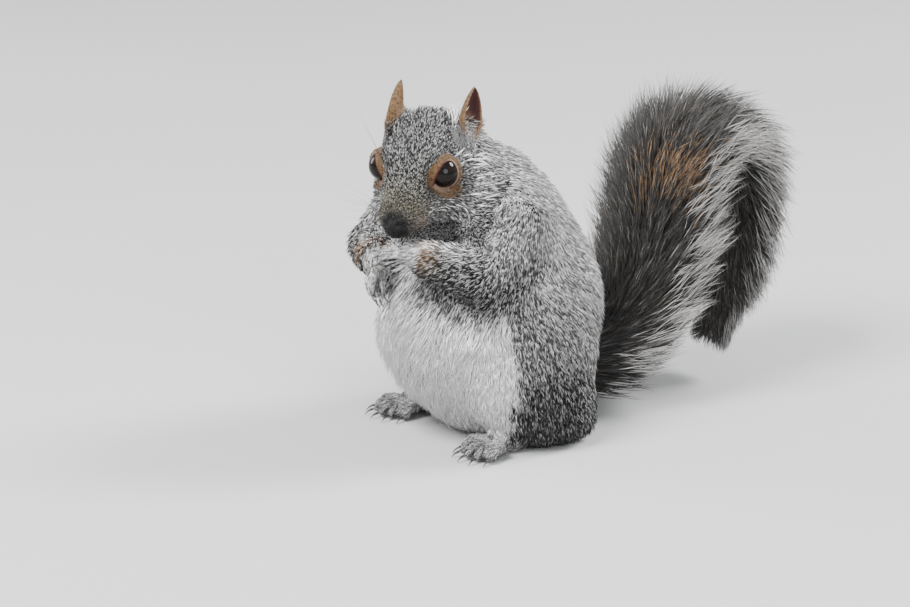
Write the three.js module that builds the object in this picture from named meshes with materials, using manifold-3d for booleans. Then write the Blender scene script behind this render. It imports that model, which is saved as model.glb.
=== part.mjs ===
// Eastern grey squirrel, life size, sitting up on its haunches with both forepaws raised to the mouth.
// Millimetres, +Z up. It faces -Y with its left side towards +X, and rests on the plane Z = 0.
// Every solid reaches out to the tips of the coat. The origin is under the middle of the whole box.
import * as THREE from "three";
import { mergeVertices } from "three/addons/utils/BufferGeometryUtils.js";
import Module from "manifold-3d";

const wasm = await Module();
wasm.setup();

const GAP = 0.35; // room between two neighbouring parts
const WELD = 0.03; // vertices nearer than this become one
const FILLET = 12; // softness of the body's inner corners
const SIDES = { left: 1, right: -1 };

// Named sizes of the animal, in millimetres and degrees. The head has a frame of its own between the
// eyes: x to its left, -y along the line to the nose, z up from that line.
const head = {
  midEyes: [7, -44.5, 127.2],
  pitch: 36,
  yaw: 33,
  cranium: { at: [0, 14, -5], radii: [19, 23, 19] },
  muzzle: { from: [0, -6, -4], to: [0, -26, -3.5], radii: [13.5, 7.2] },
  nose: { at: [0, -30.2, -0.5], radius: 3.2 },
  lip: { at: [4.6, -24, -5], radius: 5.2 },
  chin: { at: [0, -19, -10], radius: 5 },
  cheek: { at: [12.5, 4, -11], radii: [9.5, 13, 10] },
  jowl: { from: [4.8, -19, -6], to: [11.5, -2, -12], radii: [5.6, 10] },
  orbit: { at: [8, -0.5, 1.5], radii: [8, 11.5, 9.5] },
  brow: { at: [10.5, 0.5, 8.5], radii: [4.5, 8, 3.6] },
  tuft: { at: [12, 29, 1], radius: 6.5 },
  parting: { at: [0, 15, -11], ahead: [0, -0.87, 0.5], size: 66 },
  reach: 42,
  cell: 4.5,
};
const eye = { at: [14, -0.5, 2.8], radius: 6.9 };
const ear = {
  at: [17.2, 17.2, 2.8],
  height: 36,
  tipHeight: 24.8,
  width: 12.5,
  thickness: 7.4,
  pointed: 0.35,
  hollow: { width: 0.74, height: 0.84, shift: -2.2 },
  lean: -65.5,
  splay: 3,
  turn: 48,
  sides: 9,
  rings: 6,
  crown: { reach: 45, cell: 6 },
};
const trunk = {
  belly: { at: [0, -6, 54], radii: [42, 45.5, 46] },
  lap: { at: [0, -2, 22], radii: [30, 24, 26] },
  rump: { at: [0, 15, 58], radii: [45, 38.5, 46] },
  chest: { at: [0, 3, 87], radii: [34, 35, 37.5] },
  middle: [0, 2, 62],
  reach: 80,
  cell: 10.6,
};
const neck = {
  from: [0, -4, 108],
  to: [-3, -22, 126],
  radii: [27, 21],
  parting: { at: [0, 0, 112], size: 100 },
  reach: 54,
  cell: 9.5,
};
const thigh = {
  at: [34, -2, 38],
  radii: [21, 31, 36],
  hock: { at: [37, 14, 12], radii: [16, 19, 13] },
  parting: { at: [0, 32], radii: [36, 40], inner: 12 },
  reach: 54,
  cell: 10.4,
};
const foot = {
  start: [34, -8, 7],
  ball: [34.5, -23, 6],
  radii: [8, 6.6],
  toeLengths: [11, 15, 16.5, 15.5, 12],
  toeFan: 9,
  toeSpread: 3.7,
  toeRadius: 2.6,
  splay: 3,
  toeRise: [
    [0, 5.4],
    [0.5, 5.6],
    [0.82, 3.1],
    [1, 2.7],
  ],
};
const arms = {
  left: {
    shoulder: [27, -8, 102],
    elbow: [39, -30, 85],
    wrist: [23.5, -51, 93],
    knuckles: [17.2, -58.8, 95.4],
  },
  right: {
    shoulder: [-31, -19, 101],
    elbow: [-39, -36, 83],
    wrist: [-11, -54, 85.5],
    knuckles: [-3, -59, 80],
  },
};
const arm = { shoulder: 19, elbow: 12.5, wrist: 7.6, palm: 6.4, knuckles: 5.6, inner: 6, reach: 46, cell: 8 };
const finger = {
  left: { along: [-0.5, -0.6, -0.62], across: [0.3, 0.5, -0.81] },
  right: { along: [0.42, -0.3, -0.86], across: [-0.35, 0.85, -0.2] },
  count: 4,
  length: 11,
  spread: 3.1,
  radius: 1.9,
};
const limbShape = { round: 0.3, sides: 10, rings: 3 };
const digit = { sides: 6, rings: 3 };
const claw = { handLength: 5, footLength: 4.5, radius: 0.8, sides: 5, rings: 2 };
const tail = {
  route: [
    [0, 30, 20],
    [0, 62, 22],
    [0, 85, 44],
    [0, 94, 74],
    [0, 98, 103],
    [0, 109, 125],
    [0, 129, 126],
    [0, 141, 108],
    [0, 142, 80],
    [0, 138, 50],
    [0, 127, 19],
  ],
  ends: { base: 0.18, rise: 0.38, arch: 0.7, fall: 0.86, tip: 1 },
  halfWidth: [26, 38, 43, 44, 42, 41, 40, 39, 37, 32, 14],
  halfDepth: [19, 21, 21, 20, 18, 16, 16, 16, 17, 15, 7],
  sides: 16,
  step: 0.045,
  gap: 0.0012,
  room: { at: [0, 34, 30], reach: 50, cell: 6.6 },
};

// ---- forms: functions of a point that give its rough distance outside the form, negative inside

function ball([cx, cy, cz], radius) {
  return (x, y, z) => Math.hypot(x - cx, y - cy, z - cz) - radius;
}

function egg([cx, cy, cz], [rx, ry, rz]) {
  return (x, y, z) => {
    const near = Math.hypot((x - cx) / rx, (y - cy) / ry, (z - cz) / rz);
    const steep = Math.hypot((x - cx) / rx ** 2, (y - cy) / ry ** 2, (z - cz) / rz ** 2);
    return steep > 1e-9 ? (near * (near - 1)) / steep : -Math.min(rx, ry, rz);
  };
}

// A limb between two joints, tapering from one radius to the other.
function taper(from, to, [r0, r1]) {
  const [ax, ay, az] = from;
  const [bx, by, bz] = [to[0] - ax, to[1] - ay, to[2] - az];
  const long = bx * bx + by * by + bz * bz;
  return (x, y, z) => {
    const along = ((x - ax) * bx + (y - ay) * by + (z - az) * bz) / long;
    const t = Math.min(1, Math.max(0, along));
    return Math.hypot(x - ax - t * bx, y - ay - t * by, z - az - t * bz) - r0 - t * (r1 - r0);
  };
}

// Forms grown together, with a fillet about as wide as `soft`.
function grown(soft, ...forms) {
  return (x, y, z) =>
    forms.reduce((near, form) => {
      const next = form(x, y, z);
      const share = Math.max(soft - Math.abs(near - next), 0) / soft;
      return Math.min(near, next) - (share * share * soft) / 4;
    }, Infinity);
}

// A form given in a frame of its own.
function placed(frame, form) {
  const m = frame.clone().invert().elements;
  return (x, y, z) =>
    form(
      m[0] * x + m[4] * y + m[8] * z + m[12],
      m[1] * x + m[5] * y + m[9] * z + m[13],
      m[2] * x + m[6] * y + m[10] * z + m[14],
    );
}

const mirrored = ([x, y, z], side) => [side * x, y, z];
const pair = (make) => Object.values(SIDES).map(make);
const between = (from, to) => to.map((c, i) => c - from[i]);

// ---- solids

// Nets the surface where a form is zero, with one vertex in each cell that the surface crosses.
function net(form, [low, high], cell) {
  const [nx, ny, nz] = low.map((a, i) => Math.ceil((high[i] - a) / cell) + 1);
  const at = (i, j, k) => i + nx * (j + ny * k);
  const placeOf = (steps) => steps.map((step, axis) => low[axis] + step * cell);
  const visit = (rim, act) => {
    for (let k = 0; k < nz - rim; k++)
      for (let j = 0; j < ny - rim; j++) for (let i = 0; i < nx - rim; i++) act(i, j, k);
  };

  const values = new Float32Array(nx * ny * nz);
  visit(0, (i, j, k) => {
    const rim = i * j * k === 0 || i === nx - 1 || j === ny - 1 || k === nz - 1;
    const value = form(...placeOf([i, j, k]));
    values[at(i, j, k)] = rim ? Math.max(value, cell / 4) : value;
  });

  const corners = [0, 1, 2, 3, 4, 5, 6, 7].map((n) => [n & 1, (n >> 1) & 1, n >> 2]);
  const edges = corners.flatMap((a, n) =>
    [0, 1, 2].filter((axis) => !a[axis]).map((axis) => [n, n | (1 << axis)]),
  );
  const points = [];
  const pointOf = new Int32Array(nx * ny * nz).fill(-1);
  visit(1, (i, j, k) => {
    const value = corners.map(([a, b, c]) => values[at(i + a, j + b, k + c)]);
    const crossed = edges.filter(([a, b]) => value[a] < 0 !== value[b] < 0);
    if (!crossed.length) return;
    const middle = [i, j, k];
    for (const [a, b] of crossed) {
      const t = value[a] / (value[a] - value[b]);
      for (const axis of [0, 1, 2]) {
        const step = corners[a][axis] + t * (corners[b][axis] - corners[a][axis]);
        middle[axis] += step / crossed.length;
      }
    }
    pointOf[at(i, j, k)] = points.length / 3;
    points.push(...placeOf(middle));
  });

  const faces = [];
  const step = [at(1, 0, 0), at(0, 1, 0), at(0, 0, 1)];
  visit(1, (i, j, k) => {
    const here = at(i, j, k);
    for (const axis of [0, 1, 2]) {
      if (values[here] < 0 === values[here + step[axis]] < 0) continue;
      const [u, v] = [step[(axis + 1) % 3], step[(axis + 2) % 3]];
      const ring = [here - u - v, here - v, here, here - u].map((n) => pointOf[n]);
      if (values[here] >= 0) ring.reverse();
      faces.push(ring[0], ring[1], ring[2], ring[0], ring[2], ring[3]);
    }
  });

  const geometry = new THREE.BufferGeometry();
  geometry.setAttribute("position", new THREE.Float32BufferAttribute(points, 3));
  return geometry.setIndex(faces);
}

function solidOf(geometry) {
  const bare = geometry.clone();
  bare.deleteAttribute("normal");
  bare.deleteAttribute("uv");
  const merged = mergeVertices(bare, 1e-4);
  return new wasm.Manifold(
    new wasm.Mesh({
      numProp: 3,
      vertProperties: merged.attributes.position.array,
      triVerts: new Uint32Array(merged.index.array),
    }),
  );
}

// The largest body of a solid, with the slivers that cutting leaves welded shut.
function geometryOf(solid) {
  const largest = solid.decompose().sort((a, b) => b.volume() - a.volume())[0];
  const { vertProperties, triVerts } = largest.getMesh();
  const cut = new THREE.BufferGeometry();
  cut.setAttribute("position", new THREE.BufferAttribute(vertProperties, 3));
  cut.setIndex(new THREE.BufferAttribute(triVerts, 1));
  const geometry = mergeVertices(cut, WELD);
  const corner = geometry.index.array;
  const kept = [];
  for (let i = 0; i < corner.length; i += 3) {
    const [a, b, c] = corner.slice(i, i + 3);
    if (a !== b && b !== c && c !== a) kept.push(a, b, c);
  }
  geometry.setIndex(kept);
  geometry.computeVertexNormals();
  return geometry;
}

// Skins rings of equally many points, from a first end to a last one, both closed.
function loft(rings) {
  const sides = rings[0].length;
  const middleOf = (ring) => ring.reduce((sum, p) => sum.add(p), new THREE.Vector3()).divideScalar(sides);
  const points = [...rings.flat(), middleOf(rings[0]), middleOf(rings.at(-1))];
  const [first, last] = [points.length - 2, points.length - 1];
  const faces = [];
  for (let i = 0; i < sides; i++) {
    const next = (i + 1) % sides;
    faces.push(first, next, i);
    faces.push(last, (rings.length - 1) * sides + i, (rings.length - 1) * sides + next);
    for (let r = 0; r < rings.length - 1; r++) {
      const [a, b] = [r * sides + i, r * sides + next];
      faces.push(a, b, b + sides, a, b + sides, a + sides);
    }
  }
  return new THREE.BufferGeometry().setFromPoints(points).setIndex(faces);
}

// ---- fur and skin colours, one material for each kind of surface

const material = (color, roughness) => new THREE.MeshStandardMaterial({ color, roughness, metalness: 0 });
const materials = {
  grey: material(0x8f8d8a, 0.9),
  pale: material(0xb9b7b4, 0.9),
  earFur: material(0xa0714c, 0.9),
  tailFur: material(0x6d6863, 0.9),
  eye: material(0x0b0a0a, 0.08),
  claw: material(0x2a2523, 0.45),
};

const squirrel = new THREE.Group();
const headGroup = new THREE.Group();
headGroup.position.set(...head.midEyes);
headGroup.rotation.set(THREE.MathUtils.degToRad(head.pitch), 0, THREE.MathUtils.degToRad(head.yaw), "ZXY");
headGroup.updateMatrix();
squirrel.add(headGroup);

function addMesh(parent, name, geometry, kind) {
  const mesh = new THREE.Mesh(geometry, materials[kind]);
  mesh.name = name;
  parent.add(mesh);
  return mesh;
}

// ---- the flesh, as one form grown together from a form for each region

function headForm() {
  const { cranium, muzzle, nose, lip, chin, jowl } = head;
  const paired = [head.cheek, head.orbit, head.brow];
  return placed(
    headGroup.matrix,
    grown(
      5,
      egg(cranium.at, cranium.radii),
      taper(muzzle.from, muzzle.to, muzzle.radii),
      ball(nose.at, nose.radius),
      ball(chin.at, chin.radius),
      ...pair((side) => ball(mirrored(lip.at, side), lip.radius)),
      ...pair((side) => ball(mirrored(head.tuft.at, side), head.tuft.radius)),
      ...pair((side) => taper(mirrored(jowl.from, side), mirrored(jowl.to, side), jowl.radii)),
      ...pair((side) => grown(4, ...paired.map(({ at, radii }) => egg(mirrored(at, side), radii)))),
    ),
  );
}

const body = grown(
  FILLET,
  headForm(),
  taper(neck.from, neck.to, neck.radii),
  ...[trunk.belly, trunk.lap, trunk.rump, trunk.chest].map(({ at, radii }) => egg(at, radii)),
  ...pair((side) => egg(mirrored(thigh.at, side), thigh.radii)),
  ...pair((side) => egg(mirrored(thigh.hock.at, side), thigh.hock.radii)),
  ...Object.values(arms).map(({ shoulder, elbow }) => taper(shoulder, elbow, [arm.shoulder, arm.elbow])),
);

// The body's net within a cube around a point, with the form made `wider` all round.
function bodyNet(at, { reach, cell }, wider = 0) {
  const form = (x, y, z) => body(x, y, z) - wider;
  return solidOf(net(form, [at.map((c) => c - reach), at.map((c) => c + reach)], cell));
}

// ---- limbs as closed tubes, `wider` all round where they serve to cut room in a neighbour

function tube(curve, radiusAt, sides, steps) {
  const wide = new THREE.Vector3();
  const rings = Array.from({ length: steps + 1 }, (_, r) => {
    const [middle, ahead] = [curve.getPoint(r / steps), curve.getTangent(r / steps)];
    if (!r) wide.crossVectors(ahead, new THREE.Vector3(0.3, 0.2, 1));
    wide.addScaledVector(ahead, -wide.dot(ahead)).normalize();
    const deep = new THREE.Vector3().crossVectors(ahead, wide);
    return Array.from({ length: sides }, (_, i) => {
      const turn = (2 * Math.PI * i) / sides;
      const out = wide.clone().multiplyScalar(Math.cos(turn)).addScaledVector(deep, Math.sin(turn));
      return middle.clone().addScaledVector(out, radiusAt(r / steps));
    });
  });
  return solidOf(loft(rings));
}

// A straight limb whose far end may be rounded off.
function limb(from, to, [r0, r1], round = 0, wider = 0) {
  const way = new THREE.Vector3(...between(from, to)).normalize().multiplyScalar(wider);
  const [start, end] = [new THREE.Vector3(...from).sub(way), new THREE.Vector3(...to).add(way)];
  const radiusAt = (t) => (r0 + (r1 - r0) * t) * (1 - round * t ** 4) + wider;
  return tube(new THREE.LineCurve3(start, end), radiusAt, limbShape.sides, limbShape.rings);
}

// A digit along its points, plump at its knuckle and rounded off at its tip.
function digitSolid({ points }, radius, wider = 0) {
  const radiusAt = (t) => radius * (0.95 + 0.1 * Math.sin(Math.PI * t)) * (1 - 0.5 * t ** 4) + wider;
  return tube(new THREE.CatmullRomCurve3(points), radiusAt, digit.sides, digit.rings);
}

// Each toe rises to a knuckle, comes down to its pad and ends level.
function toesOf(side) {
  const middle = (foot.toeLengths.length - 1) / 2;
  const [x, y] = mirrored(foot.ball, side);
  return foot.toeLengths.map((length, i) => {
    const turn = THREE.MathUtils.degToRad(((i - middle) * foot.toeFan + foot.splay) * side);
    const [across, ahead] = [Math.sin(turn), -Math.cos(turn)];
    const rootX = x + side * (i - middle) * foot.toeSpread;
    const points = foot.toeRise.map(([share, z]) => {
      return new THREE.Vector3(rootX + across * share * length, y + 2 + ahead * share * length, z);
    });
    return { points, back: new THREE.Vector3(0, 0, 1) };
  });
}

// Each finger bows outwards at its knuckle and its tip comes back to the palm's side.
function fingersOf(name) {
  const { along, across } = finger[name];
  const [run, wide] = [along, across].map((way) => new THREE.Vector3(...way).normalize());
  const back = new THREE.Vector3().crossVectors(run, wide).multiplyScalar(SIDES[name]);
  return Array.from({ length: finger.count }, (_, i) => {
    const offset = i - (finger.count - 1) / 2;
    const half = (finger.length * (1 - 0.09 * offset ** 2)) / 2;
    const root = new THREE.Vector3(...arms[name].knuckles);
    root.addScaledVector(wide, offset * finger.spread);
    const knuckle = root.clone().addScaledVector(run, half).addScaledVector(back, 0.6);
    const tip = knuckle.clone().addScaledVector(run, half).addScaledVector(back, -1.6);
    return { points: [root, knuckle, tip], back };
  });
}

const digits = {};
for (const [name, side] of Object.entries(SIDES)) {
  digits[name] = { hand: fingersOf(name), foot: toesOf(side) };
}

const solids = {};
const rooms = []; // what has been parted off so far, each made wider by the gap
const floor = solidOf(new THREE.BoxGeometry(600, 600, 100).translate(0, 0, -50));
const without = (solid, cutters) => cutters.reduce((left, cutter) => left.subtract(cutter), solid);
const joined = (solid, others) => others.reduce((all, other) => all.add(other), solid);

for (const [name, side] of Object.entries(SIDES)) {
  const { elbow, wrist, knuckles } = arms[name];
  const grasp = (wider) => digits[name].hand.map((one) => digitSolid(one, finger.radius, wider));
  const palm = (wider) => limb(wrist, knuckles, [arm.palm, arm.knuckles], limbShape.round, wider);
  const forearm = (wider) => limb(elbow, wrist, [arm.elbow, arm.wrist], 0, wider);
  const hand = (wider) => joined(palm(wider), grasp(wider));
  solids[`hand_${name}`] = hand(0);
  solids[`forearm_${name}`] = forearm(0).subtract(hand(GAP));

  const [start, end] = [mirrored(foot.start, side), mirrored(foot.ball, side)];
  const toes = (wider) => digits[name].foot.map((one) => digitSolid(one, foot.toeRadius, wider));
  const sole = (wider) => joined(limb(start, end, foot.radii, limbShape.round, wider), toes(wider));
  solids[`foot_${name}`] = sole(0).subtract(floor);
  rooms.push(hand(GAP), forearm(GAP), sole(GAP));
}

// ---- partings of the body: closed shapes that each take one region

// Everything ahead of a plane, within a box of the given size.
function aheadOf(at, ahead, size, wider = 0) {
  const way = new THREE.Vector3(...ahead).normalize();
  const turn = new THREE.Quaternion().setFromUnitVectors(new THREE.Vector3(0, 0, 1), way);
  const slab = new THREE.BoxGeometry(size + 2 * wider, size + 2 * wider, size + 2 * wider);
  return slab.translate(0, 0, size / 2).applyQuaternion(turn).translate(...at);
}

// An oval column that runs outwards through one flank, from `inner` beside the middle of the body.
function flankColumn([y, z], [ry, rz], tilt, inner, side, wider) {
  const reach = 60;
  const column = new THREE.CylinderGeometry(1, 1, reach + 2 * wider, 18).rotateZ(Math.PI / 2);
  column.scale(1, ry + wider, rz + wider).rotateX(tilt);
  return column.translate(side * (inner + reach / 2), y, z);
}

function shoulderColumn(name, wider) {
  const { shoulder, elbow } = arms[name];
  const [, dy, dz] = between(shoulder, elbow);
  const middle = shoulder.map((c, i) => (c + elbow[i]) / 2).slice(1);
  const radii = [Math.hypot(dy, dz) / 2 + arm.shoulder - 3, arm.shoulder + 2];
  return flankColumn(middle, radii, Math.atan2(dz, dy), arm.inner, SIDES[name], wider);
}

function headBox(wider) {
  const { at, ahead, size } = head.parting;
  return aheadOf(at, ahead, size, wider).applyMatrix4(headGroup.matrix);
}

// Each region's net, as its middle and its reach and cell, and the parting that takes it from the body.
const regions = { head: { net: [head.midEyes, head], part: headBox } };
for (const [name, side] of Object.entries(SIDES)) {
  regions[`upper_arm_${name}`] = {
    net: [arms[name].elbow, arm],
    part: (wider) => shoulderColumn(name, wider),
  };
  const { at, radii, inner } = thigh.parting;
  regions[`thigh_${name}`] = {
    net: [mirrored(thigh.at, side), thigh],
    part: (wider) => flankColumn(at, radii, 0, inner, side, wider),
  };
}
regions.neck = {
  net: [neck.to, neck],
  part: (wider) => aheadOf(neck.parting.at, between(neck.from, neck.to), neck.parting.size, wider),
};

for (const [name, region] of Object.entries(regions)) {
  const whole = bodyNet(...region.net).intersect(solidOf(region.part(0)));
  solids[name] = without(whole, [...rooms, floor]);
  rooms.push(solidOf(region.part(GAP)));
}
solids.trunk = without(bodyNet(trunk.middle, trunk), [...rooms, floor]);

// ---- eyes, set into the head by ball sockets

for (const [name, side] of Object.entries(SIDES)) {
  const place = new THREE.Vector3(...mirrored(eye.at, side));
  const globe = new THREE.IcosahedronGeometry(eye.radius, 2);
  addMesh(headGroup, `eye_${name}`, globe, "eye").position.copy(place);
  const socket = new THREE.IcosahedronGeometry(eye.radius + GAP, 2);
  socket.translate(...place).applyMatrix4(headGroup.matrix);
  solids.head = solids.head.subtract(solidOf(socket));
}

// ---- ears: a pointed egg, hollowed from its outer side, standing on the crown

function earShell() {
  const leaf = (width, height, thickness, lift, shift) => {
    const shape = new THREE.SphereGeometry(1, ear.sides, ear.rings);
    const point = shape.attributes.position;
    for (let i = 0; i < point.count; i++) {
      const [x, y, z] = [point.getX(i), point.getY(i), point.getZ(i)];
      const narrow = 1 - ear.pointed * Math.max(y, 0) ** 2;
      point.setXYZ(i, (x * narrow * width) / 2, (-z * thickness) / 2 + shift, lift + (y * height) / 2);
    }
    return solidOf(shape);
  };
  const { height, width, thickness, hollow } = ear;
  const middle = ear.tipHeight - height / 2;
  const outer = leaf(width, height, thickness, middle, 0);
  const inner = leaf(width * hollow.width, height * hollow.height, thickness, middle, hollow.shift);
  return geometryOf(outer.subtract(inner));
}

const crown = bodyNet(head.midEyes, ear.crown, 2 * GAP);
for (const [name, side] of Object.entries(SIDES)) {
  const stand = new THREE.Group();
  stand.position.set(...mirrored(ear.at, side));
  const [lean, splay, turn] = [ear.lean, ear.splay * side, ear.turn * side].map(THREE.MathUtils.degToRad);
  stand.rotation.set(lean, splay, turn, "YXZ");
  headGroup.add(stand);
  stand.updateMatrix();
  const inBody = headGroup.matrix.clone().multiply(stand.matrix);
  const shell = solidOf(earShell().applyMatrix4(inBody)).subtract(crown);
  addMesh(stand, `ear_${name}`, geometryOf(shell).applyMatrix4(inBody.invert()), "earFur");
}

// ---- claws: short curved horns on every digit

function clawGeometry(length) {
  const curve = new THREE.QuadraticBezierCurve3(
    new THREE.Vector3(0, 0, 0),
    new THREE.Vector3(0, -length * 0.6, length * 0.1),
    new THREE.Vector3(0, -length, -length * 0.35),
  );
  const rings = Array.from({ length: claw.rings + 1 }, (_, r) => {
    const t = r / claw.rings;
    const middle = curve.getPoint(t);
    const radius = claw.radius * (1 - 0.75 * t);
    return Array.from({ length: claw.sides }, (_, i) => {
      const turn = (2 * Math.PI * i) / claw.sides;
      return middle.clone().add(new THREE.Vector3(Math.cos(turn) * radius, 0, Math.sin(turn) * radius));
    });
  });
  return loft(rings);
}

for (const [name, paws] of Object.entries(digits))
  for (const [paw, row] of Object.entries(paws))
    row.forEach(({ points, back }, i) => {
      const [tip, ahead] = [points.at(-1), new THREE.CatmullRomCurve3(points).getTangent(1)];
      const side = new THREE.Vector3().crossVectors(back, ahead).normalize();
      const rise = new THREE.Vector3().crossVectors(ahead, side);
      const turn = new THREE.Matrix4().makeBasis(side, ahead.clone().negate(), rise);
      const geometry = clawGeometry(claw[`${paw}Length`]);
      const mesh = addMesh(squirrel, `claw_${paw}_${name}_${i + 1}`, geometry, "claw");
      mesh.position.copy(tip).addScaledVector(ahead, GAP);
      mesh.quaternion.setFromRotationMatrix(turn);
    });

// ---- the tail, as a run of lofted lengths over one arching route

function tailRing(curve, t) {
  const along = (values) => {
    const place = t * (values.length - 1);
    const i = Math.min(Math.floor(place), values.length - 2);
    const blend = place - i;
    const smooth = blend * blend * (3 - 2 * blend);
    return values[i] + (values[i + 1] - values[i]) * smooth;
  };
  const [middle, ahead] = [curve.getPoint(t), curve.getTangent(t)];
  const wide = new THREE.Vector3(1, 0, 0).addScaledVector(ahead, -ahead.x).normalize();
  const deep = new THREE.Vector3().crossVectors(ahead, wide);
  return Array.from({ length: tail.sides }, (_, i) => {
    const turn = (2 * Math.PI * i) / tail.sides;
    return middle
      .clone()
      .addScaledVector(wide, Math.cos(turn) * along(tail.halfWidth))
      .addScaledVector(deep, Math.sin(turn) * along(tail.halfDepth));
  });
}

const tailCurve = new THREE.CatmullRomCurve3(tail.route.map((p) => new THREE.Vector3(...p)));
const bodyRoom = bodyNet(tail.room.at, tail.room, 4 * GAP);
Object.entries(tail.ends).forEach(([length, end], n, all) => {
  const start = n ? all[n - 1][1] + tail.gap : 0;
  const count = Math.round((end - start) / tail.step);
  const shares = Array.from({ length: count + 1 }, (_, r) => start + (r / count) * (end - start));
  const rings = shares.map((t) => tailRing(tailCurve, t));
  const solid = solidOf(loft(rings)).subtract(bodyRoom).subtract(floor);
  addMesh(squirrel, `tail_${n + 1}_${length}`, geometryOf(solid), "tailFur");
});

for (const [name, solid] of Object.entries(solids)) {
  const inHead = name === "head";
  const geometry = geometryOf(solid);
  if (inHead) geometry.applyMatrix4(headGroup.matrix.clone().invert());
  addMesh(inHead ? headGroup : squirrel, name, geometry, /hand|foot/.test(name) ? "pale" : "grey");
}

const box = new THREE.Box3().setFromObject(squirrel, true);
const middle = box.getCenter(new THREE.Vector3());
squirrel.position.set(-middle.x, -middle.y, -box.min.z);

export default squirrel;
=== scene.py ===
import math
import bpy
import bmesh
import numpy as np
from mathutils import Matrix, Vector
from mathutils.bvhtree import BVHTree


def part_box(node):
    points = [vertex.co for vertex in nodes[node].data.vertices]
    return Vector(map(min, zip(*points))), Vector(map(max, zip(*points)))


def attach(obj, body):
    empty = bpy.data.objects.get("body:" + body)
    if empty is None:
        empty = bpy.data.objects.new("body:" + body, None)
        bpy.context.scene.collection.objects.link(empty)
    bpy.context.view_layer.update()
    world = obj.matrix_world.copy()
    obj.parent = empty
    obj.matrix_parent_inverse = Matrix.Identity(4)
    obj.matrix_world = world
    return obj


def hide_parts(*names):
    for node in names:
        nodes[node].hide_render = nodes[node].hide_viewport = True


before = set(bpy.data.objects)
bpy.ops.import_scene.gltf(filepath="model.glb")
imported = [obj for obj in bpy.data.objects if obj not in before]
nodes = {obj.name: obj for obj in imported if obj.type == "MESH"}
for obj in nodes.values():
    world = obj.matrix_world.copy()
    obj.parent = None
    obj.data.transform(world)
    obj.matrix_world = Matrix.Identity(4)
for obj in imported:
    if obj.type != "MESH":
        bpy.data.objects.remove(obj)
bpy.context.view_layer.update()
mm = 0.001
sides = {"left": 1, "right": -1}
tailNodes, earNodes, clawNodes = [
    sorted(name for name in nodes if name.startswith(part)) for part in ("tail", "ear", "claw")
]
limbNodes = ["head", "neck", "trunk"] + [
    part + "_" + side for part in ("upper_arm", "forearm", "hand", "thigh", "foot") for side in sides
]
workScale = 1.0


# small tools

def unit(v):
    v = np.asarray(v, float)
    return v / np.maximum(np.linalg.norm(v, axis=-1, keepdims=True), 1e-12)


def dot(a, b):
    return (a * b).sum(-1)


def distance(points, spot):
    # in millimetres
    return np.linalg.norm(points - spot, axis=1) / mm


def smoothStep(low, high, value):
    t = np.clip((value - low) / (high - low), 0, 1)
    return t * t * (3 - 2 * t)


def bump(value, middle, width):
    return np.exp(-(((value - middle) / width) ** 2))


def ripple(points, size, seed):
    # soft random waves over space, about -1 to 1
    random = np.random.default_rng(seed)
    way = unit(random.normal(size=(7, 3))) * random.uniform(0.6, 1.5, (7, 1)) * 2 * math.pi / size
    return np.sin(points @ way.T + random.uniform(0, 6.28, 7)).sum(1) / 3.2


def middleOf(name):
    low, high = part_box(name)
    return np.array((low + high) / 2)


def addObject(name, data):
    thing = bpy.data.objects.new(name, data)
    bpy.context.scene.collection.objects.link(thing)
    return thing


def newPiece(name, points, faces, smooth=True):
    mesh = bpy.data.meshes.new(name)
    mesh.from_pydata(points, [], faces)
    mesh.update()
    if smooth:
        mesh.shade_smooth()
    return addObject(name, mesh)


def readAll(rows, what, width, kind=float):
    # one property of all of a mesh's points, edges or triangles, a row for each
    values = np.empty(len(rows) * width, kind)
    rows.foreach_get(what, values)
    return values.reshape(-1, width)


def readMesh(mesh):
    edges = readAll(mesh.edges, "vertices", 2, int)
    return readAll(mesh.vertices, "co", 3), edges, readAll(mesh.vertex_normals, "vector", 3)


def trianglesOf(mesh):
    mesh.calc_loop_triangles()
    return readAll(mesh.loop_triangles, "vertices", 3, int)


def nodePoints(name):
    return readAll(nodes[name].data.vertices, "co", 3)


def nodeTriangles(name):
    return trianglesOf(nodes[name].data)


def surfaceTree(points, triangles):
    return BVHTree.FromPolygons(points.tolist(), triangles.tolist())


def solidsTree(names):
    parts = [nodePoints(name) for name in names]
    starts = np.cumsum([0] + [len(part) for part in parts])
    triangles = [nodeTriangles(name) + start for name, start in zip(names, starts)]
    return surfaceTree(np.concatenate(parts), np.concatenate(triangles))


def neighbourMean(values, edges):
    count = len(values)
    degree = np.bincount(edges.ravel(), minlength=count)
    flat = values.reshape(count, -1)
    sums = [
        np.bincount(edges[:, 0], flat[edges[:, 1], k], count)
        + np.bincount(edges[:, 1], flat[edges[:, 0], k], count)
        for k in range(flat.shape[1])
    ]
    return (np.stack(sums, 1) / np.maximum(degree, 1)[:, None]).reshape(values.shape)


def relax(values, edges, rounds, share=0.5):
    for _ in range(rounds):
        values = values + (neighbourMean(values, edges) - values) * share
    return values


def withModifiers(piece):
    # leaves the piece with its modifiers' result as its own mesh
    graph = bpy.context.evaluated_depsgraph_get()
    old, piece.data = piece.data, bpy.data.meshes.new_from_object(piece.evaluated_get(graph))
    piece.modifiers.clear()
    bpy.data.meshes.remove(old)


def joinedNodes(name, names, fuller):
    # one mesh of these solids, each drawn out along its normals by fuller(its name)
    whole = bmesh.new()
    for node in names:
        part = bmesh.new()
        part.from_mesh(nodes[node].data)
        bmesh.ops.remove_doubles(part, verts=part.verts, dist=0.01 * mm)
        part.normal_update()
        places = [v.co + v.normal * fuller(node) for v in part.verts]
        for v, place in zip(part.verts, places):
            v.co = place
        mesh = bpy.data.meshes.new("part")
        part.to_mesh(mesh)
        part.free()
        whole.from_mesh(mesh)
        bpy.data.meshes.remove(mesh)
    mesh = bpy.data.meshes.new(name)
    whole.to_mesh(mesh)
    whole.free()
    return mesh


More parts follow.
